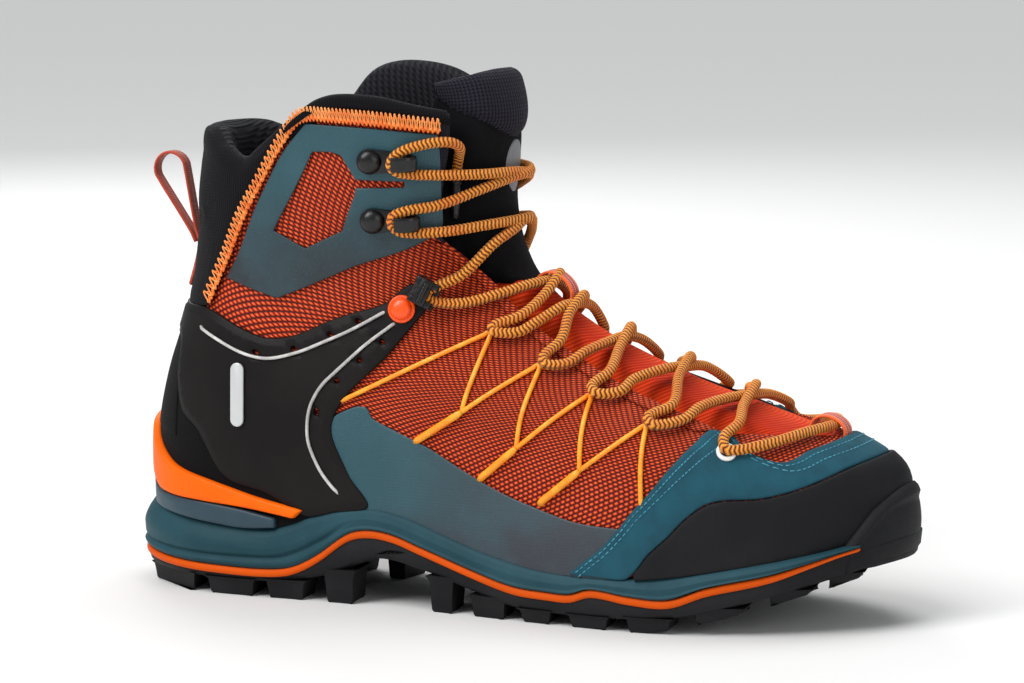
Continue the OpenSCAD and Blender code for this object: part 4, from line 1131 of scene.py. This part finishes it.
OVERLOCK_PITCH = 3.3
CRADLE_TOP = [[0.7, 30], [0.74, 32.5], [0.78, 34], [0.84, 35], [0.9, 37], [0.95, 47], [1, 51]]
INSERT_TOP = [[0.67, 33.5], [0.72, 37], [0.78, 42], [0.84, 46], [0.88, 51], [0.94, 59], [1, 62]]
CAGE_HIGH = [[0.335, 116], [0.372, 116], [0.435, 109], [0.5, 105], [0.542, 102], [0.58, 98.5],
             [0.62, 95.5], [0.66, 95], [0.7, 98], [0.735, 101], [0.767, 103], [0.8, 104],
             [0.835, 104], [0.88, 104], [0.94, 104.5], [1, 104.5]]
CAGE_LOW = [[0.34, 111], [0.41, 102], [0.53, 84], [0.59, 74], [0.626, 63], [0.624, 48],
            [0.607, 36.4], [0.64, 33.4], [0.668, 31.2], [0.71, 38.5], [0.76, 43.5], [0.795, 60],
            [0.825, 66], [0.845, 78], [0.865, 90], [0.93, 92.5], [1, 93]]
COLLAR_LINE_INNER = [[0.2, 176], [0.24, 177.7], [0.3, 182], [0.38, 188], [0.46, 190], [0.53, 189],
                     [0.58, 185], [0.63, 176], [0.68, 166], [0.76, 164], [0.86, 168], [1, 169]]
COLLAR_LOW = [[0.235, 172.5], [0.3, 175.5], [0.38, 177.5], [0.46, 178.5], [0.53, 177.5],
              [0.56, 173],
              [0.59, 166.5], [0.64, 150.8], [0.695, 134.6], [0.745, 118], [0.78, 108], [0.84, 107],
              [0.92, 107], [1, 107]]


def top_edge(u, side):
    """[q, z] of the upper's top edge at a share u of the way from the heel to the toe."""
    a = mix(1, CUFF_CORNER_Q, u / CORNER_U)
    line = np.where(side == INNER, curve(COLLAR_LINE_INNER, a), curve(COLLAR_LINE, a))
    cuff = np.stack([a, line - 7], axis=-1)
    s = np.clip((u - CORNER_U) / (TOE_U - CORNER_U), 0, 1)
    z = mix(curve(COLLAR_LINE, CUFF_CORNER_Q) - 7, THROAT_TOE_Z + 2, s**0.9)
    throat = np.stack([curve(THROAT_LINE, z), z], axis=-1)
    s = np.clip((u - TOE_U) / (1 - TOE_U), 0, 1)
    toe = np.stack([mix(curve(THROAT_LINE, THROAT_TOE_Z + 2), 0, s),
                    mix(THROAT_TOE_Z + 2, 65.5, s)], axis=-1)
    u = np.asarray(u)[:, None]
    return np.where(u <= CORNER_U, cuff, np.where(u <= TOE_U, throat, toe))


def upper_grid(d, rows, v0, v1, n):
    """Columns of points round the whole upper, between shares v0 and v1 of its height."""
    k = np.arange(2 * n)
    u = np.where(k <= n, k / n, 2 - k / n)
    side = np.where(k <= n, OUTER, INNER)
    a = lookup(FOOT_Q, u)
    low = np.stack([a, rim_z(a) + 0.5], axis=-1)
    high = top_edge(u, side)
    v = np.linspace(v0, v1, rows + 1)
    p = low[:, None] + (high - low)[:, None] * v[None, :, None]
    return at(side[:, None] * p[..., 0], p[..., 1], d)


def upper():
    mesh = sheet(*(upper_grid(d, 54, 0, 1, 170) for d in (0, -SHELL_T)), wrap=True)
    make("upper_fabric", mesh, "mesh", ["upper_shell"],
         attributes={"cloth": cloth_of(mesh[0])})
    soft = sheet(*(upper_grid(d, 40, 0.02, 0.97, 120) for d in (-3.0, -5.7)), wrap=True)
    piece = make("lining_padding", soft, "lining", ["lining"],
                 attributes={"cloth": cloth_of(soft[0])})


def toe_pieces():
    q = np.linspace(-0.366, 0.366, 90)
    low = np.column_stack([q, curve(RIM_LINE, foot_x(q) + 3) - 1.2])
    rand = between(low, past_toe(RAND_TOP))
    panel_piece("rand_rubber_band", rand, RAND_T, "rand", "rand_rubber", ["toe_rand"])
    edge = np.array(past_toe([[-0.424, 18.8], [-0.4, 18.8], [-0.375, 18.8], *RAND_TOP])) + [0, 0.25]
    high = past_toe(OVERLAY_TOP)
    tips = (OVERLAY_TIP, len(high) - 1 - OVERLAY_TIP)
    corners = (tips[0], tips[0] + 1, tips[1] - 1, tips[1])
    overlay = between(edge, high, sharp_high=corners)
    panel_piece("toe_overlay_suede", overlay, FILM_T + 0.2, "suede", "suede_teal", ["toe_overlay"],
                step=1.7)
    sewn = edge_line(high, 1.0, sharp=corners)
    a, b = (np.argmin(np.linalg.norm(sewn - [arc(high[k][0]), high[k][1]], axis=1)) for k in tips)
    runs = [stitches(part, away, GAP + FILM_T + 0.17, 2.2, 1.55, 0.27)
            for part in (sewn[2:a - 1], sewn[a + 3:b - 3], sewn[b + 2:-2]) for away in (1.3, 3.0)]
    make("overlay_stitching", joined(*runs), "thread")


def side_pieces():
    for side, word in SIDES.items():
        low, high = on_side(FILM_LOW, side), on_side(FILM_HIGH, side)
        rim = rim_z(low[:, 0])
        low[:, 1] = np.where(low[:, 1] < rim + 3, rim - 1.2, low[:, 1])
        outline = between(low, high)
        panel_piece("side_film_sheet_" + word, outline, 0.55, "film", "film_teal",
                    ["side_film_" + word], step=2.4)
        rim = edge_line(on_side(PANEL_EDGE, side), 1.2, True, sharp=(0, 3, 5, 9))
        window = edge_line(on_side(PANEL_WINDOW, side), 1.2, True,
                           sharp=(0, 2, 4, 5, 6, 7, 8, 10, 11))
        panel_piece("ankle_panel_film_" + word, rim, 0.8, "ankle_film", "film_teal",
                    ["ankle_panel_" + word], holes=[window])
        line = edge_line(on_side(ZIGZAG_LINE, side), 1.0)
        d = GAP + 1.0
        pale = zigzag(line, (d + 0.6, d + 2.0), 0.6 * side, -3.7 * side, OVERLOCK_PITCH, 0.3)
        make("overlock_spikes_" + word, pale, "pale")
        chains = [zigzag(line, (d, d), side, -0.7 * side, 2.3, 0.38),
                  zigzag(line[1:], (d + 0.4, d + 1.8), 1.6 * side, -2.3 * side,
                         OVERLOCK_PITCH, 0.3)]
        make("overlock_chain_" + word, joined(*chains), "zig")


def heel_pieces():
    cradle = past_heel(CRADLE_TOP)
    low = [[q, float(rim_z(fold(q))) - 1.0] for q, _ in cradle]
    panel_piece("heel_cradle_band", between(low, [[q, z - 0.2] for q, z in cradle]), 2.4,
                "cradle", "cradle_plastic", ["heel_cradle"], d0=CRADLE_D)
    low = past_heel([[top[0] + 0.01, under[1] + 0.2] for top, under in zip(INSERT_TOP, CRADLE_TOP)])
    panel_piece("heel_insert_band", between(low, past_heel(INSERT_TOP)), 3.0, "insert",
                "insert_plastic", ["heel_insert"], d0=CRADLE_D)
    low = past_heel([[0.84, 56], [0.9, 58], [0.95, 60], [1, 61]])
    high = past_heel([[0.84, 92], [0.9, 93.5], [0.95, 94], [1, 94]])
    panel_piece("backstay_cloth", between(low, high), 0.9, "backstay", "black_textile",
                ["backstay"])
    # Black sheet under the cage down to the rim, which shows below the cage's lower edge as painted
    # shade of the cage.
    low = past_heel([[q, float(rim_z(q)) - 1.0]
                     for q in (0.622, 0.65, 0.7, 0.75, 0.8, 0.85, 0.9, 0.95, 1)])
    high = past_heel([[0.622, 44], [0.66, 50], [0.72, 70], [0.78, 80], [0.84, 92], [0.9, 93],
                      [1, 93]])
    panel_piece("heel_side_painted_shade_sheet", between(low, high), 0.5, "backstay", "black_textile")
    full = round_edge(CAGE_T, 0.6)
    panel_piece("heel_cage_shell", between(past_heel(CAGE_LOW), past_heel(CAGE_HIGH)), CAGE_T,
                "cage", "cage_plastic", ["heel_cage"], holes=cable_slots(), d0=CAGE_D,
                height=lambda e: full(e) - 0.5 + 0.5 * ease(1.6, 2.4, e),
                step=1.7, rings=(0.15, 0.6, 1.6, 2.4))


CABLE_UPPER = [[29, 97], [38, 93], [50, 88.5], [59, 87.5], [70, 90], [80, 94], [90, 98.5],
               [103, 106]]
CABLE_LOWER = [[107, 102], [96, 93], [86, 84], [79, 76.5], [75.5, 68], [75.5, 59], [80, 49],
               [87.5, 40]]
CAGE_FACE = CAGE_D + CAGE_T
SLOT_AT = {"upper": (0.28, 0.46, 0.66, 0.84), "lower": (0.16, 0.34, 0.52, 0.72)}


def cable_slots():
    """Small slots in the cage beside the cables, as loops of [u, z]."""
    loops = []
    for side in SIDES:
        for key, route in (("upper", CABLE_UPPER), ("lower", CABLE_LOWER)):
            line = edge_line(on_side(route, side), 1.0)
            if side == OUTER:
                line = np.column_stack([2 * ARC_U[-1] + line[:, 0], line[:, 1]])
            t = unit(np.gradient(line, axis=0))
            for share in SLOT_AT[key]:
                k = int(share * (len(line) - 1))
                way, across = t[k], np.array([-t[k][1], t[k][0]])
                a = turns(16)[:, None]
                loops.append(line[k] + across * 1.6 + np.cos(a) * way * 2.0
                             + np.sin(a) * across * 0.75)
    return loops


def cage_parts():
    cables, bars, rivets = [], [], []
    a = np.linspace(0, np.pi, 13)
    bar = np.concatenate([np.column_stack([9 + 2.6 * np.sin(a), -2.6 * np.cos(a)]),
                          np.column_stack([-9 - 2.6 * np.sin(a), 2.6 * np.cos(a)])])
    rivet = lathe([[0, 0], [4.9, 0], [5.0, 0.5], [4.6, 0.9], [4.2, 0.9], [3.9, 0.6], [3.8, 1.2],
                   [3.5, 1.9], [2.6, 2.4], [1.3, 2.65], [0, 2.7]])
    for side in SIDES:
        for route in (CABLE_UPPER, CABLE_LOWER):
            line = edge_line(on_side(route, side), 1.0)
            s = np.linspace(0, 1, len(line))
            sink = 0.1 + 1.2 * (1 - ease(0, 0.03, s)) + 1.2 * ease(0.97, 1, s)
            cables.append(tube(at(q_of(line[:, 0]), line[:, 1], CAGE_FACE + CABLE_D / 2 - sink),
                               CABLE_D / 2, 10))
        bars.append(moved(slab(bar, 1.0, 0.3), mount(side * 0.72, 74, CAGE_FACE + 0.1)))
        rivets.append(moved(rivet, mount(side * float(q_at(109, 107)), 107, CAGE_FACE)))
    make("cage_cable_runs", joined(*cables), "cable", ["cage_cables"])
    make("heel_reflector_bars", joined(*bars), "reflective", ["heel_reflectors"])
    make("ankle_rivet_heads", joined(*rivets), "rivet", ["ankle_rivets"])


# ---- Collar and tongue ----

def section_curve(points, per):
    """Closed rounded section with the same number of points for every column."""
    p = np.array(points, float)
    before, after, last = (np.roll(p, n, axis=0) for n in (1, -1, -2))
    out = [hermite(p, after, (after - before) / 2 * 0.8, (last - p) / 2 * 0.8, k / per)
           for k in range(per)]
    return np.stack(out, axis=1).reshape(-1, p.shape[-1])


def bell(z, middle, half):
    """1 in the middle, falling away to both sides."""
    return np.exp(-((z - middle) / half) ** 2)


LINED_FROM = -2.8  # depth where the collar's knit gives way to the lining


def collar():
    columns = np.linspace(CUFF_CORNER_Q, 2 - CUFF_CORNER_Q, 260)
    rings, depths = [], []
    for q in columns:
        a = float(fold(q))
        zt = float(curve(COLLAR_LINE_INNER if q < 1 else COLLAR_LINE, a))
        zl = min(float(lookup(COLLAR_LOW, a)), zt - 2.2)
        seam = zt - 6.4
        section = section_curve([
            [GAP, zl], [1.8, zl + 0.3], [3.0, mix(zl, zt, 0.3)], [3.4, mix(zl, zt, 0.62)],
            [2.8, zt - 3.2], [0.6, zt + 0.4], [-2.6, zt + 1.0], [-6.6, zt - 1.5], [-8.4, zt - 7.5],
            [-7.8, zt - 16], [-6.2, zt - 17], [-6.0, seam - 4], [-4.5, seam], [GAP, seam]], 6)
        d, z = section[:, 0], section[:, 1]
        d = d - 0.9 * bell(z, 130 + (1 - a) * 46, 1.3) * ease(0.7, 0.78, a) * (d > 1)
        fold_z = zt - 9 + 3 * np.cos(9 * a)
        d = d - 0.7 * bell(z, fold_z, 1.2) * ease(0.75, 0.85, a) * (d > 1)
        d = d - 2.0 * bell(z, 137, 9) * ease(0.8, 0.95, a) * (d > 1.5)
        wave = 0.3 * np.sin(23 * a + z / 7) * (d > 1.5) * np.clip((z - zl) / 6, 0, 1)
        depths.append(d)
        rings.append(at(q, z, d + wave))
    mesh = loft(rings)
    piece = make("collar_padding", mesh, "collar", ["collar_pad"],
                 attributes={"cloth": cloth_of(mesh[0])})
    depths = np.concatenate(depths)
    piece.data.materials.append(MATERIALS["lining"])
    for face in piece.data.polygons:
        if depths[list(face.vertices)].mean() < LINED_FROM:
            face.material_index = 1
    swell(piece, 3.0, 1.2)


def pad_low(q):
    """Height where the ribbed pad of the tongue begins."""
    return 167 + 20 * (np.abs(q) / 0.27) ** 1.6


# Lengths along the crest from the toe end, by height, for the ribs' spacing
CREST_Z = np.linspace(60, 200, 281)
CREST_S = run_length(skin(0 * CREST_Z, CREST_Z))


def tongue_mesh(z0, z1, rows, n, thick, edges, roll, low_rise, side_deep, pad):
    """Tongue between two heights; with pad its outside is quilted and its top end closes."""
    i, j = np.meshgrid(np.linspace(-1, 1, n + 1), np.linspace(0, 1, rows + 1), indexing="ij")
    z = mix(z0 + low_rise * i**2, z1 - 24 * roll * i**2, j)
    q = i * 0.3 * (1 - 1.5 * roll * ease(0.55, 1, j))
    crest = 1 - ease(edges[0], edges[1], np.abs(q))
    deep = mix(7.4, side_deep, ease(140, 156, z))
    out = mix(-deep, -1.6, crest)
    t = mix(3, thick, crest)
    if pad:
        over = z - pad_low(q)
        out = out + 3.4 * (1 - np.exp(-np.clip(over, 0, 99) / 3.0)) * mix(0.35, 1, crest)
        out = out - 0.9 * bell(over, 0, 1.1)
        t = t + 2.0 * ease(0, 10, over)
        to_top = (1 - j) * (z1 - z0)
        r = t / 2
        close = r - np.sqrt(np.maximum(r**2 - (r - np.minimum(to_top, r)) ** 2, 0.02))
        t, out = t - 2 * close, out - close
    side_end = np.clip((1 - np.abs(i)) / 0.06, 0, 1)
    t = t * (0.35 + 0.65 * np.sqrt(1 - (1 - side_end) ** 2))
    mesh = sheet(at(q, z, out), at(q, z, out - t))
    flat_q, flat_z = (
        np.concatenate([g, *[g[:, -1:]] * LIP, g[:, ::-1], *[g[:, :1]] * LIP], axis=1)
        for g in (q, z))
    cloth = np.stack([arc(flat_q), np.interp(flat_z, CREST_Z, CREST_S), 0 * flat_q], axis=-1)
    return mesh, cloth.reshape(-1, 3), flat_q.ravel(), flat_z.ravel()


def tongue():
    mesh, cloth, _, _ = tongue_mesh(66, HINGE_Z + 1.5, 150, 70, 3.6, (0.105, 0.195),
                                    0.01, 8, 7.4, False)
    piece = make("tongue_knit", mesh, "tongue_orange", ["tongue_lower"],
                 attributes={"cloth": cloth})
    mesh, cloth, q, z = tongue_mesh(HINGE_Z + 1, 193, 90, 84, 9, (0.12, 0.225),
                                    0.16, 9, 10.2, True)
    piece = make("tongue_padding", mesh, "tongue_rib", ["tongue_top"], body=None,
                 attributes={"cloth": cloth})
    piece.data.materials.append(MATERIALS["tongue_plain"])
    for face in piece.data.polygons:
        k = list(face.vertices)
        if np.mean(z[k] - pad_low(q[k])) < 0.3:
            face.material_index = 1
    swell(piece, 3.0, 1.4)
    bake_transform(piece)
    a = turns(40)
    width = 9.0 * (1 - 0.25 * np.maximum(-np.sin(a), 0))
    shield = np.column_stack([width * np.cos(a), 157.0 + 9.5 * np.sin(a)])
    mesh = panel(shield, round_edge(0.9, 0.4), d0=-1.8, step=1.5)
    make("tongue_badge_plain", mesh, "badge", ["tongue_patch"], body="tongue")


# ---- Throat, cords and lace ----

def throat():
    z = np.linspace(131, 69.5, 70)
    for side, word in SIDES.items():
        edge = np.column_stack([side * curve(THROAT_LINE, z), z])
        piece = panel_piece("throat_edge_" + word, between(edge, edge + [side * 0.03, 0]), 0.9,
                            "mesh" if side == OUTER else "binding", "black_textile", d0=0.2)
        if side == OUTER:
            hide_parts("throat_binding")
        z_far = np.array([177, 172, 160, 148, 139, 134.5, 131])
        near = np.column_stack([side * (curve(THROAT_LINE, z_far) - 0.003), z_far])
        far = np.column_stack([side * q_at(122.4, z_far), z_far])
        far[-2:, 0] = near[-2:, 0] + side * np.array([0.022, 0.006])
        panel_piece("throat_facing_" + word, between(near, far), 0.9, "binding", "black_textile")


CORD_FOOT = [[117, 61], [143, 49.5], [167, 43]]
CORD_FORK = [[136, 73], [158, 62], [183, 56]]
CORD_APEX = [[140, 99.5], [160, 89], [181, 80], [203, 71]]
CORD_FIRST = [88, 74]
CORD_LAST = [206, 45]


def tension_cords():
    d = GAP + 0.35
    stops = np.array([CORD_FIRST, *CORD_FORK, CORD_LAST], float)
    for side, word in SIDES.items():
        runs = []
        for a, apex, b in zip(stops, np.array(CORD_APEX), stops[1:]):
            side_a, side_b = apex + [-1.1, -0.8], apex + [1.1, -0.8]
            line = np.concatenate([evenly([a, side_a], 2.0)[:-1],
                                   smooth([side_a, apex, side_b], 0.4),
                                   evenly([side_b, b], 2.0)[1:]])
            route = on_side(line, side)
            runs.append(tube(at(route[:, 0], route[:, 1], d), CORD_D / 2, 10))
        for foot, fork in zip(CORD_FOOT, CORD_FORK):
            route = on_side(evenly([fork, foot], 2.0), side)
            s = np.linspace(0, 1, len(route))
            runs.append(tube(at(route[:, 0], route[:, 1], d + 0.2 - 1.2 * ease(0.93, 1, s)),
                             CORD_D / 2 + 0.45 * ease(0, 0.12, s), 12))
        make("tension_cord_run_" + word, joined(*runs), "tension",
             ["tension_cords_" + word])


# The lace from one tip down to the toe, as [q, z, d]; the other half mirrors it
HALF_LACE = [
    [-0.205, 151.5, -4.9], [-0.205, 156.5, -4.8], [-0.206, 161.5, -3], [-0.213, 165, 0.4],
    [-0.235, 167, 2.6], [-0.265, 167.4, 3.8], [-0.3, 166.6, 4.6], [-0.335, 164.8, 5.4],
    [-0.353, 162.4, 5.6], [-0.357, 159.4, 5.6], [-0.34, 157.1, 5.4], [-0.27, 156, 4],
    [-0.15, 155.5, 2.4], [-0.07, 155.6, 2.4], [0, 155, 2.4], [0.07, 153.4, 2.4], [0.15, 150.5, 2.4],
    [0.26, 145.2, 3.8], [0.325, 143.6, 5.4], [0.353, 141.6, 5.6], [0.357, 138.4, 5.6],
    [0.34, 136, 5.4], [0.26, 135.6, 3.8], [0.15, 137, 2.4], [0.07, 137.6, 2.4],
    [0, 137.5, 2.4], [-0.07, 134.6, 2.4], [-0.15, 130, 2.4],
    [-0.26, 119.5, 3.6], [-0.32, 115.5, 5], [-0.352, 112.8, 5.6], [-0.35, 109.6, 5],
    [-0.3, 109, 3], [-0.2, 112.5, 2.2], [-0.1, 115, 1.6],
    [0, 115, 1.4], [0.12, 110, 2], [0.22, 104, 3], [0.29, 100.5, 3.8], [0.3, 98.6, 3.8],
    [0.26, 98.6, 3], [0.2, 102, 2.6], [0.1, 106, 3],
    [0, 107, 5.2], [-0.1, 104, 3], [-0.2, 96, 2.6], [-0.275, 90, 3.8], [-0.285, 87.8, 3.8],
    [-0.25, 88.4, 3], [-0.19, 92, 2.6], [-0.1, 95, 1.9],
    [0, 96, 1.4], [0.1, 93, 1.9], [0.2, 86, 2.6], [0.265, 81, 3.8], [0.275, 78.8, 3.8],
    [0.24, 79.6, 3], [0.18, 83.5, 2.6], [0.09, 85.5, 3],
    [0, 86, 5.2], [-0.1, 83, 3], [-0.2, 76, 2.6], [-0.265, 72, 3.8], [-0.275, 69.8, 3.8],
    [-0.23, 71.4, 3], [-0.17, 75, 2.6], [-0.09, 77, 1.9],
    [0, 77, 1.4], [0.09, 75, 1.9], [0.17, 70, 2.6], [0.225, 66, 3.4], [0.243, 62.5, 3.6],
    [0.2, 63.4, 3.2], [0.12, 66, 2.8]]
CROSSING_SUM = 6.6  # of both halves' depths where they cross on the crest
LACE_STEP = 0.34
BRAID_PITCH = 1.5
TIP = [[-1.0, 1.85], [0, 2.0], [0.5, 1.9], [1.0, 1.6], [1.6, 1.55], [2.2, 1.7], [9.5, 1.55],
       [10.2, 1.4], [11, 1.5], [12.6, 1.35], [13, 0.9]]


def lace_points():
    def half(side):
        p = np.array(HALF_LACE, float)
        d = np.where((p[:, 0] == 0) & (side < 0), CROSSING_SUM - p[:, 2], p[:, 2])
        return at(side * p[:, 0], p[:, 1], d)
    return np.concatenate([half(1), [at(0, 67, 2.6)], half(-1)[::-1]])


def lace():
    route = evenly(smooth(lace_points(), 0.8), LACE_STEP)
    sides = 14
    mesh = tube(route, LACE_D / 2, sides)
    turn = np.tile(np.arange(sides) / sides, len(route))
    along = np.repeat(np.arange(len(route)) * LACE_STEP, sides)
    zig = np.abs(2 * ((turn * 3) % 1) - 1)
    hump = np.sin(np.pi * ((along / BRAID_PITCH + 0.45 * zig) % 1))
    centre = np.repeat(route, sides, axis=0)
    points = centre + (mesh[0] - centre) * (0.93 + 0.13 * hump[:, None])
    make("lace_braided", (points, mesh[1]), "braid", ["lace"],
         attributes={"braid": np.column_stack([along, turn, 0 * turn])})
    tips = []
    for a, b in ((route[0], route[6]), (route[-1], route[-7])):
        way = unit(a - b)
        tips.append(tube([a + way * h for h, _ in TIP], [r for _, r in TIP], 20))
    make("lace_tip_sleeves", joined(*tips), "tip", ["lace_tips"])


def band(path, ways, width, thick):
    """Flat strip with round edges along a path; ways point across its width."""
    path, ways = np.asarray(path, float), unit(ways)
    along = unit(np.gradient(path, axis=0))
    out = unit(np.cross(along, ways))
    w, t = width / 2, thick / 2
    section = [[-w + t, -t], [w - t, -t], [w - 0.3 * t, -0.7 * t], [w, 0], [w - 0.3 * t, 0.7 * t],
               [w - t, t], [-w + t, t], [-w + 0.3 * t, 0.7 * t], [-w, 0], [-w + 0.3 * t, -0.7 * t]]
    section = np.array(section)
    across = np.linspace(-w + t, w - t, 9)[1:-1]
    section = np.concatenate([section[:1], np.column_stack([across, 0 * across - t]), section[1:6],
                              np.column_stack([across[::-1], 0 * across + t]), section[6:]])
    rings = path[:, None] + section[:, :1] * ways[:, None] + section[:, 1:] * out[:, None]
    run = run_length(path)
    cloth = np.stack(np.broadcast_arrays(section[None, :, 0], run[:, None], 0.0), axis=-1)
    return loft(rings), cloth.reshape(-1, 3)


def keepers():
    parts, cloths = [], []
    for z, lift, half, width in ((112.6, 7.2, 7.5, 7.5), (67.4, 6.0, 6.4, 8.0)):
        n = normal(0.0, z)
        down = unit(skin(0.0, z - 1) - skin(0.0, z + 1))
        base = at(0.0, z, -1.4)
        t = np.linspace(0, np.pi, 25)
        feet = np.array([[-half - 2.5, -2.6], [-half - 1.2, -1.2]])
        arch = np.column_stack([-half * np.cos(t), lift * np.sin(t) ** 0.75 + 0.2])
        line = np.concatenate([feet, arch, [[half + 1.2, -1.2], [half + 2.5, -2.6]]])
        path = base + line[:, :1] * down + line[:, 1:] * n
        mesh, cloth = band(path, np.tile([0.0, 1.0, 0.0], (len(path), 1)), width, 1.0)
        parts.append(mesh)
        cloths.append(cloth)
    make("lace_keeper_loops", joined(*parts), "keeper", ["lace_keepers"],
         attributes={"cloth": np.concatenate(cloths)})


# ---- Hardware ----

HOOK_SPOTS = [[108.3, 139.2], [108.3, 160.4]]
EYELET_SPOT = 0.243, 62.5
LOCK_SPOT = 0.352, 113
HOOK_BASE = GAP + 1.0
POST_X, HOOK_RIVET_X = 4.4, 9.0


def hook(spot, side):
    """Open speed hook: a riveted plate whose toe end curls over the lace."""
    m = mount(side * float(q_at(*spot)), spot[1], HOOK_BASE, 90)
    a = np.linspace(-np.pi / 2, np.pi / 2, 13)
    front = -side * (POST_X + 0.5)
    back = side * HOOK_RIVET_X
    right, left = (front, back) if front > back else (back, front)
    rr, rl = (3.0, 4.6) if front > back else (4.6, 3.0)
    outline = np.concatenate([np.column_stack([right + rr * np.cos(a), rr * np.sin(a)]),
                              np.column_stack([left - rl * np.cos(a), -rl * np.sin(a)])])
    plate = slab(outline, 1.5, 0.4)
    curl = smooth([[2.0, 0.8], [POST_X + 0.4, 0.9], [POST_X + 2.6, 2.2], [POST_X + 3.0, 4.4],
                   [POST_X + 1.2, 6.6], [POST_X - 2.0, 7.2], [POST_X - 5.0, 6.8]], 0.6)
    path = np.column_stack([-side * curl[:, 0], 0 * curl[:, 0], curl[:, 1]])
    arm, _ = band(path, np.tile([0.0, 1.0, 0.0], (len(path), 1)), 5.4, 1.5)
    neck = tube([[-side * (POST_X + 0.9), 0, 0.8], [-side * (POST_X + 0.9), 0, 6.4]], 1.4, 14)
    return [moved(part, m) for part in (plate, arm, neck)]


def block(x0, x1, half, z0, height, bevel):
    """Rectangular block with bevelled edges, across y from -half to half."""
    outline = np.array([[x0, -half], [x1, -half], [x1, half], [x0, half]])
    points, faces = slab(outline, height, bevel)
    return points + [0, 0, z0], faces


def hardware():
    for spot, word in zip(HOOK_SPOTS, ("lower", "upper")):
        parts = [part for side in SIDES for part in hook(spot, side)]
        make("speed_hook_arms_" + word, joined(*parts), "black_metal",
             [word + "_speed_hooks"], sharp_angle=40)
    points, faces = lathe([[0, 0], [4.3, 0], [4.4, 0.5], [4.2, 1.2], [3.5, 2.1], [2.3, 2.75],
                           [1.1, 3.0], [0, 3.05]])
    domes = [moved((points + [side * HOOK_RIVET_X, 0, 0], faces),
                   mount(side * float(q_at(*spot)), spot[1], HOOK_BASE + 1.4, 90))
             for side in SIDES for spot in HOOK_SPOTS]
    make("hook_rivet_domes", joined(*domes), "black_metal", ["hook_rivets"])
    profile = [[2.75 + 0.85 * np.cos(t), 0.4 + 0.75 * np.sin(t)] for t in turns(14)]
    ring = loft([[[r * np.cos(t), r * np.sin(t), h] for r, h in profile] for t in turns(48)],
                wrap=True)
    q, z = EYELET_SPOT
    make("toe_eyelet_rings",
         joined(*[moved(ring, mount(side * q, z, GAP + FILM_T + 0.2)) for side in SIDES]),
         "eyelet", ["toe_eyelets"])
    base = slab(smooth([[-5, -4.8], [5, -4.8], [5, 4.8], [-5, 4.8]], 0.9, closed=True,
                       sharp=(0, 1, 2, 3)), 1.8, 0.4)
    lock = (base, block(-4.8, -2.4, 4.4, 0, 6.4, 0.4), block(2.4, 4.8, 4.4, 0, 6.4, 0.4),
            tube([[-3.6, 0, 7.0], [3.6, 0, 7.0]], 1.2, 16), block(-4.8, 4.8, 2.2, 6.0, 1.4, 0.45))
    q, z = LOCK_SPOT
    blocks = [moved(part, mount(side * q, z, CAGE_FACE - 0.1, side * 25))
              for side in SIDES for part in lock]
    make("lace_lock_blocks", joined(*blocks), "black_metal", ["lace_locks"],
         sharp_angle=40)


# ---- Pull loop, footbed and the hidden pieces ----

LOOP_R = 6.2


def pull_loop():
    base, tip = np.array([[13.4, 125], [0, 157]])
    way = unit(tip - base)
    across = np.array([way[1], -way[0]])
    centre = tip - way * LOOP_R
    turn = np.linspace(0, np.pi, 15)
    bow = centre + np.cos(turn)[:, None] * across * LOOP_R + np.sin(turn)[:, None] * way * LOOP_R
    line = smooth([base + across * 0.9, base + across * 1.3 + way * 5, *bow,
                   base - across * 1.3 + way * 5, base - across * 0.9], 1.0)
    path = np.column_stack([line[:, 0], np.zeros(len(line)), line[:, 1]])
    mesh, cloth = band(path, np.tile([0.0, 1.0, 0.0], (len(path), 1)), WEB_W * 0.68, 1.1)
    make("pull_loop_webbing", mesh, "loop", ["pull_loop"], body="pull_loop",
         attributes={"cloth": cloth})
    outline = between([[0.962, 108], [1.0, 107.6], [1.038, 108]],
                      [[0.966, 126], [1.0, 126.4], [1.034, 126]])
    mesh = panel(outline, round_edge(1.2, 0.5), d0=3.2, step=1.5)
    cloth = cloth_of(mesh[0])
    cloth[:, 0] -= float(arc(1.0))
    make("pull_loop_tab", mesh, "loop", ["loop_tab"], attributes={"cloth": cloth})


def footbed():
    rings = [foot_loop(d, FLOOR_LINE, lift) for d, lift in (
        (-12, 2.7), (-9.4, 2.7), (-8.7, 3.3), (-8.4, 5.0), (-8.5, 7.2), (-9.2, 7.9), (-10.5, 7.6),
        (-13, 5.9), (-17, 4.9), (-22, 4.6))]
    mesh = loft(rings)
    cloth = np.column_stack([mesh[0][:, 0], mesh[0][:, 1], 0 * mesh[0][:, 0]])
    piece = make("footbed_cushion", mesh, "footbed", ["footbed"], body="footbed",
                 attributes={"cloth": cloth})


def hidden_pieces():
    for node, paint in (("shank", "steel"), ("lasting_board", "board"), ("toe_puff", "stiffener"),
                        ("heel_counter", "stiffener")):
        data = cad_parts[node].data
        data.materials.clear()
        data.materials.append(MATERIALS[paint])


camera()
stage()
outsole()
accent_stripe()
midsole()
upper()
toe_pieces()
side_pieces()
heel_pieces()
cage_parts()
collar()
tongue()
throat()
tension_cords()
lace()
keepers()
hardware()
pull_loop()
footbed()
hidden_pieces()
